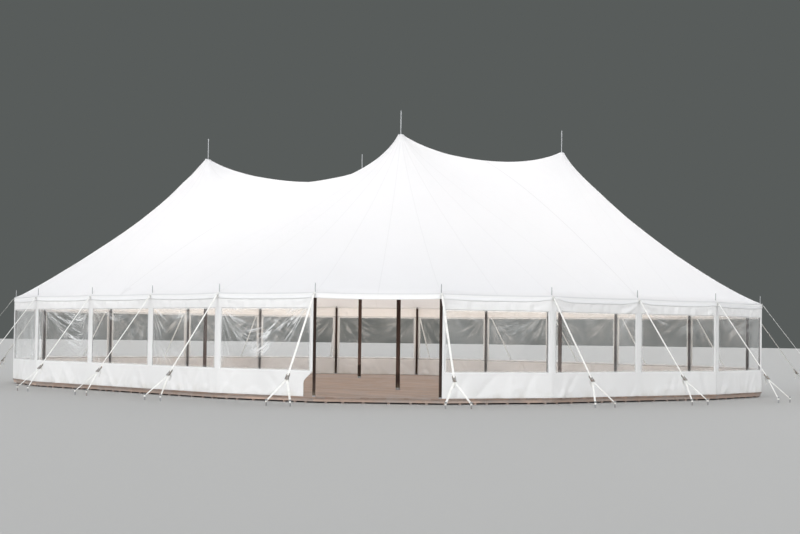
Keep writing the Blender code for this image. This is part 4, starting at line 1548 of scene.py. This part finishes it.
# Tab at the eave: out from the belt's face, and level from the roof's edge
TAB = (
    (-0.020, 0.010), (-0.006, 0.003), (0.0, -0.008), (0.0, -0.034), (0.012, -0.044),
    (0.022, -0.052), (0.012, -0.060), (0.0, -0.070), (0.0, -0.120),
)


def guy_places(first, count):
    """Where each guy of a run stands: X outward from its pole's belt."""
    places = []
    for pole in range(first, first + count):
        outward, stretch = pole_outward(pole)
        place = POLES[pole % POLE_COUNT] + outward * BELT_OUT * (stretch - 1)
        turn = Matrix.Rotation(math.atan2(outward.y, outward.x), 4, "Z")
        places.append(Matrix.Translation((*place, 0)) @ turn)
    return places


def straight(start, end, steps, sag=0.0):
    """Points of a strap from start to end with a slight sag."""
    path = []
    for step in range(steps + 1):
        t = step / steps
        point = start.lerp(end, t)
        point.z -= sag * 4 * t * (1 - t)
        path.append(point)
    return path


def guy_slope(sizes, edge_height):
    """Ring at the eave, ratchet, and the direction between them."""
    ring = Vector((BELT_OUT + 0.030, 0, edge_height - 0.052))
    ratchet = Vector((sizes.ratchet_out, 0, sizes.ratchet_height))
    return ring, ratchet, (ratchet - ring).normalized()


def lay_on_slope(item, place, slope):
    """Move a piece to a place on a guy, its X along the guy and its Z upright."""
    turn = Matrix((slope, ACROSS, slope.cross(ACROSS))).transposed().to_4x4()
    item.data.transform(Matrix.Translation(place) @ turn)
    return item


def guy_webbing(sizes, edge_height):
    """Webbing of one guy: eave tab, strap with its sewn end, tail and two legs."""
    ring, ratchet, slope = guy_slope(sizes, edge_height)
    upright = Vector((-slope.z, 0, slope.x))
    width, thick = sizes.width, sizes.thickness
    face = BELT_OUT + 0.001 + thick / 2
    start, drum, yoke = ring + slope * 0.020, ratchet - slope * 0.035, ratchet + slope * 0.085
    tab = [(face + out, 0, edge_height + level) for out, level in TAB]
    strap = straight(start, drum + upright * 0.016, 14, 0.006)
    sewn = [
        start + slope * way + upright * thick * lift
        for way, lift in ((0.0, 0.6), (0.05, 1.05), (0.20, 1.05))
    ]
    loop = [start - slope * 0.004 + upright * thick * 0.6]
    loop += [ring + slope * way + upright * lift for way, lift in ((0.008, 0.005), (0.002, 0.0))]
    loop += [ring + slope * 0.008 - upright * 0.005, start - slope * 0.002]
    roll = []
    for step in range(61):
        angle = math.radians(step * 18)
        radius = 0.011 + 0.0037 * step * 18 / 360
        roll.append(drum + slope * radius * math.cos(angle) + upright * radius * math.sin(angle))
    tail = [drum - upright * 0.020 + slope * 0.01]
    for step in range(1, 11):
        swing = 0.012 * math.sin(step * 0.9) + 0.004 * step
        tail.append(tail[0] + Vector((swing, 0, -step * 0.022)))
    pieces = [
        ribbon(path, width * broad, thick * deep, "guy_webbing")
        for path, broad, deep in (
            (tab, 1.0, 1.0), (strap, 1.0, 1.0), (sewn, 0.98, 1.0), (loop, 0.98, 1.0),
            (roll, 0.94, 0.8), (tail, 0.96, 0.9),
        )
    ]
    for side in (-1, 1):
        aside = side * sizes.stake_spread
        foot = Vector((sizes.stake_out - 0.004, aside, HOOP_LEVEL + 0.008))
        leg = (foot - yoke).normalized()
        level = (ACROSS - leg * leg.y).normalized()
        leg_path = straight(yoke - leg * 0.012, foot, 8)
        pieces.append(ribbon(leg_path, width, thick, "guy_webbing", level))
        hoop = []
        for step in range(13):
            angle = math.radians(step * 30)
            out, beside = HOOP_RADIUS * math.cos(angle), HOOP_RADIUS * math.sin(angle)
            hoop.append((sizes.stake_out + out, aside + beside, HOOP_LEVEL))
        pieces.append(ribbon(hoop, width * 0.8, thick, "guy_webbing", (0, 0, 1)))
    return join("webbing", pieces)


def toothed_wheel(radius, width, middle):
    """Ratchet wheel: a disc whose every other edge point stands out as a tooth."""
    item = turned([(radius, -width / 2), (radius, width / 2)], WHEEL_SIDES)
    for vertex in item.data.vertices:
        if round(math.atan2(vertex.co.y, vertex.co.x) / (2 * math.pi / WHEEL_SIDES)) % 2:
            vertex.co.x *= 0.80
            vertex.co.y *= 0.80
    return move(item, middle, UPEND)


def guy_ratchet(sizes, edge_height):
    """Ratchet buckle: side plates, drum, toothed wheels, pawl, yoke bar and handle."""
    _, ratchet, slope = guy_slope(sizes, edge_height)
    tilt = Matrix.Rotation(math.radians(-11), 4, "Y")
    items = []
    for side in (-1, 1):
        items.append(bar((0.175, 0.004, 0.034), (0.008, side * 0.0285, 0), 0.0015))
        items.append(toothed_wheel(0.024, 0.004, (-0.035, side * 0.0335, 0)))
        items.append(bar((0.150, 0.004, 0.026), (0.030, side * 0.0385, 0.014), 0.0015, tilt))
    for radius, width, x, z in (
        (0.010, 0.086, -0.035, 0), (0.007, 0.070, 0.082, 0), (0.006, 0.064, -0.070, 0.004),
        (0.012, 0.094, 0.102, 0.030),
    ):
        items.append(cross_rod(radius, width, (x, 0, z)))
    items.append(bar((0.040, 0.052, 0.003), (0.010, 0, 0.016), 0.001))
    items.append(bar((0.055, 0.050, 0.003), (0.060, 0, 0.024), 0.001))
    return lay_on_slope(join("ratchet", items), ratchet, slope)


def guy_steel(sizes, edge_height):
    """D-ring at the eave and the two driven stakes of one guy."""
    ring, _, slope = guy_slope(sizes, edge_height)
    deselect()
    bpy.ops.mesh.primitive_torus_add(
        major_radius=0.031, minor_radius=0.004, major_segments=24, minor_segments=8
    )
    d_ring = bpy.context.object
    for vertex in d_ring.data.vertices:
        vertex.co.x = max(vertex.co.x, -0.012 + vertex.co.x * 0.12)
    items = [lay_on_slope(d_ring, ring - slope * 0.006, slope)]
    top = sizes.stake_height
    profile = (
        (0.016, 0.0), (0.018, 0.002), (0.018, top - 0.030), (0.0195, top - 0.026),
        (0.027, top - 0.018), (0.028, top - 0.008), (0.021, top),
    )
    for side in (-1, 1):
        items.append(move(turned(profile, 20), (sizes.stake_out, side * sizes.stake_spread, 0)))
    return join("steel", items)


def eave_belt(first, count, sizes, edge_height):
    """Stretch of the webbing belt along the eave that carries a run of guys."""
    offset = BELT_OUT - sizes.thickness / 2
    belt_level = edge_height - 0.02 - sizes.belt / 2
    last = first + count - 1
    sections = []
    run, before = 0.0, None
    for bay in range(first - 1, first + count):
        start, end = offset_corner(bay, offset), offset_corner(bay + 1, offset)
        low, high = 0.5 if bay < first else 0.0, 0.5 if bay == last else 1.0
        steps = round(EAVE_COLUMNS * (high - low))
        for step in range(steps + 1 if bay == last else steps):
            t = low + (high - low) * step / steps
            outward, stretch = (bay_outward(bay), 1.0) if t > 1e-6 else pole_outward(bay)
            place = start.lerp(end, t)
            run += 0.0 if before is None else (place - before).length
            before = place
            middle = Vector((*place, belt_level - float(edge_droop(t))))
            sections.append((middle, Vector((0, 0, 1)), (outward * stretch).to_3d(), run))
    return strip(sections, sizes.belt, sizes.thickness, "eave_webbing")


# Maker, own finish and slot of each kind of piece; the webbing keeps its straps' finishes
GUY_KINDS = {
    "webbing": (guy_webbing, None, "strap_webbing"),
    "ratchets": (guy_ratchet, "ratchet_iron", "ratchet_steel"),
    "stakes": (guy_steel, "zinc_steel", "galvanised_steel"),
}


class MARQUEE_OT_guys(bpy.types.Operator):
    """Rig the eave belt, guys, ratchets and stakes"""

    bl_idname = "marquee.guys"
    bl_label = "Guys"

    def execute(self, context):
        sizes = settings("guys")
        edge_height = EAVE + settings("roof").valance
        patterns = {kind: make(sizes, edge_height) for kind, (make, _, _) in GUY_KINDS.items()}
        for name, (first, count) in GUY_POLES.items():
            places = guy_places(first, count)
            for kind, (_, finish, slot) in GUY_KINDS.items():
                pieces = copy_to(patterns[kind], places)
                if kind == "webbing":
                    pieces.append(eave_belt(first, count, sizes, edge_height))
                item = join(f"{name}_{kind}", pieces)
                if finish is not None:
                    set_finish(item, finish)
                soften(item)
                finish_piece(item, slot, *([name] if kind == "webbing" else []))
        remove(*patterns.values())
        return {"FINISHED"}


# Deck

BOARD_LENGTHS = (3.0, 3.6, 4.2, 4.8)
BOARD_SEED, DECK_SEED, PACKER_SEED = 77, 12, 31
PACKER = 0.06


def bisect_to_plan(item, offset):
    """Cut a mesh to the plan's outline, closing each cut."""
    select_only(item)
    bpy.ops.object.mode_set(mode="EDIT")
    for start, end in plan_sides(offset):
        along = (end - start).normalized()
        bpy.ops.mesh.select_all(action="SELECT")
        bpy.ops.mesh.bisect(
            plane_co=(*start, 0), plane_no=(along.y, -along.x, 0), use_fill=True, clear_outer=True
        )
    bpy.ops.mesh.select_all(action="SELECT")
    bpy.ops.mesh.fill_holes(sides=0)
    bpy.ops.object.mode_set(mode="OBJECT")


def tag_boards(mesh):
    """Give each board its own random number, for its tone and grain."""
    shapes = bmesh.new()
    shapes.from_mesh(mesh)
    layer = shapes.verts.layers.float.new("board")
    dice = np.random.default_rng(BOARD_SEED)
    seen = set()
    for start in shapes.verts:
        if start in seen:
            continue
        value = dice.uniform(0, 1)
        stack = [start]
        seen.add(start)
        while stack:
            vertex = stack.pop()
            vertex[layer] = value
            beside = {edge.other_vert(vertex) for edge in vertex.link_edges} - seen
            seen |= beside
            stack += beside
    shapes.to_mesh(mesh)
    shapes.free()


def finish_timber(item, finish, *nodes, bevel=0.0):
    """Number a piece's boards, ease their edges and hand it to the frame."""
    tag_boards(item.data)
    if bevel:
        apply_modifier(item, "BEVEL", width=bevel, segments=1, limit_method="ANGLE", angle_limit=0.6)
    set_finish(item, finish)
    item.data.shade_flat()
    finish_piece(item, "platform_timber", *nodes)


def lengthened(pattern, axis, low, high):
    """Copy of a plank pattern with its two ends moved to new places along an axis."""
    item = copy_to(pattern, [Matrix.Identity(4)])[0]
    points = read_points(item.data)
    before = points[:, axis] < 0
    start, end = points[:, axis].min(), points[:, axis].max()
    points[before, axis] += low - start
    points[~before, axis] += high - end
    write_points(item.data, points)
    return item


def make_boards(sizes, offset):
    """Deck boards along X with staggered joints, trimmed to the wall line."""
    dice = np.random.default_rng(DECK_SEED)
    reach = max(corner.x for corner in plan_corners(offset)) + 0.1
    half = max(corner.y for corner in plan_corners(offset)) + 0.05
    pattern = bar((1.0, sizes.board, sizes.thickness), (0, 0, DECK_TOP - sizes.thickness / 2), 0)
    boards = []
    pitch = sizes.board + sizes.gap
    for row in range(math.ceil(2 * half / pitch)):
        middle = -half + row * pitch + sizes.board / 2
        x = -reach - dice.uniform(0, 3.6)
        while x < reach:
            end = x + dice.choice(BOARD_LENGTHS)
            lift = dice.uniform(-0.0012, 0.0)
            low, high = max(x + 0.002, -reach), min(end - 0.002, reach)
            if high - low > 0.05:
                boards.append(move(lengthened(pattern, 0, low, high), (0, middle, lift)))
            x = end
    remove(pattern)
    deck = join("deck_boards", boards)
    bisect_to_plan(deck, offset)
    finish_timber(deck, "deck_timber", "platform_boards", bevel=0.003)


def half_width(x, offset):
    """Half width of the offset plan at a distance along it."""
    for start, end in plan_sides(offset):
        if start.y > 0 and end.y > 0 and end.x <= x <= start.x:
            return start.y + (end.y - start.y) * (x - start.x) / (end.x - start.x)
    return 0.0


def make_rim(sizes, offset, top):
    """Rim boards under the deck's edge, mitred at the corners, on low packers."""
    dice = np.random.default_rng(PACKER_SEED)
    low = sizes.packer
    pattern = bar((1.0, sizes.joist, top - low), (0, 0, (top + low) / 2), 0.004, None, 1)
    packer = bar((PACKER, PACKER, low), (0, 0, low / 2), 0.003, None, 1)
    items = []
    sides = zip(plan_sides(offset), plan_sides(offset - sizes.joist))
    for (start, end), (inner_start, inner_end) in sides:
        run = (end - start).length
        board = lengthened(pattern, 0, 0.0, run)
        for vertex in board.data.vertices:
            along, inward = vertex.co.x / run, vertex.co.y / sizes.joist + 0.5
            inner_edge = inner_start.lerp(inner_end, along)
            vertex.co.xy = start.lerp(end, along).lerp(inner_edge, inward)
        items.append(board)
        way = (end - start) / run
        turn = Matrix.Rotation(math.atan2(way.y, way.x), 4, "Z")
        inset = Vector((-way.y, way.x)) * (sizes.joist / 2 + PACKER / 2)
        at = dice.uniform(0.12, 0.3)
        while at < run - 0.1:
            middle = start + way * at + inset
            items += copy_to(packer, [Matrix.Translation((*middle, 0)) @ turn])
            at += dice.uniform(0.32, 0.62)
    remove(pattern, packer)
    finish_timber(join("deck_rim", items), "rim_timber", "platform_frame")


def make_joists(sizes, offset, top):
    """Joists across the deck between the rim boards, in timber darkened as painted shade for the gap
    under the deck.
    """
    reach = max(corner.x for corner in plan_corners(offset)) - 0.0003
    count = max(1, round(2 * reach / sizes.pitch))
    pattern = bar((sizes.joist, 1.0, top - 0.002), (0, 0, (top + 0.002) / 2), 0.004, None, 1)
    joists = []
    for step in range(1, count):
        x = -reach + step * (2 * reach / count)
        half = min(half_width(x + s * sizes.joist / 2, offset - 0.001) for s in (-1, 1))
        joists.append(move(lengthened(pattern, 1, -half, half), (x, 0, 0)))
    remove(pattern)
    finish_timber(join("deck_joists", joists), "joist_timber")


class MARQUEE_OT_deck(bpy.types.Operator):
    """Lay the timber platform"""

    bl_idname = "marquee.deck"
    bl_label = "Platform"

    def execute(self, context):
        sizes = settings("deck")
        top = DECK_TOP - sizes.thickness - 0.0004
        rim_out = WALL_OUT - sizes.inset
        make_boards(sizes, WALL_OUT)
        make_rim(sizes, rim_out, top)
        make_joists(sizes, rim_out - sizes.joist, top)
        return {"FINISHED"}


# Panel and main

GROUPS = {
    "roof": MARQUEE_PG_roof,
    "walls": MARQUEE_PG_walls,
    "poles": MARQUEE_PG_poles,
    "guys": MARQUEE_PG_guys,
    "deck": MARQUEE_PG_deck,
    "stage": MARQUEE_PG_stage,
}
OPERATORS = (
    MARQUEE_OT_materials,
    MARQUEE_OT_stage,
    MARQUEE_OT_roof,
    MARQUEE_OT_walls,
    MARQUEE_OT_windows,
    MARQUEE_OT_poles,
    MARQUEE_OT_guys,
    MARQUEE_OT_deck,
)
STEPS = ("materials", "stage", "roof", "walls", "windows", "poles", "guys", "deck")


class MARQUEE_PT_panel(bpy.types.Panel):
    """Marquee sizes, colours and steps"""

    bl_label = "Marquee"
    bl_idname = "MARQUEE_PT_panel"
    bl_space_type = "VIEW_3D"
    bl_region_type = "UI"
    bl_category = "Marquee"

    def draw(self, context):
        layout = self.layout
        for step in STEPS:
            layout.operator("marquee." + step)
        for group in GROUPS:
            box = layout.box()
            box.label(text=group.title())
            for name in settings(group).__annotations__:
                box.prop(settings(group), name)


CLASSES = (*GROUPS.values(), *OPERATORS, MARQUEE_PT_panel)


def register():
    for made in CLASSES:
        bpy.utils.register_class(made)
    for name, group in GROUPS.items():
        setattr(bpy.types.Scene, "marquee_" + name, PointerProperty(type=group))


def unregister():
    for name in GROUPS:
        delattr(bpy.types.Scene, "marquee_" + name)
    for made in reversed(CLASSES):
        bpy.utils.unregister_class(made)


def main():
    register()
    for step in STEPS:
        getattr(bpy.ops.marquee, step)()


if __name__ == "__main__":
    main()
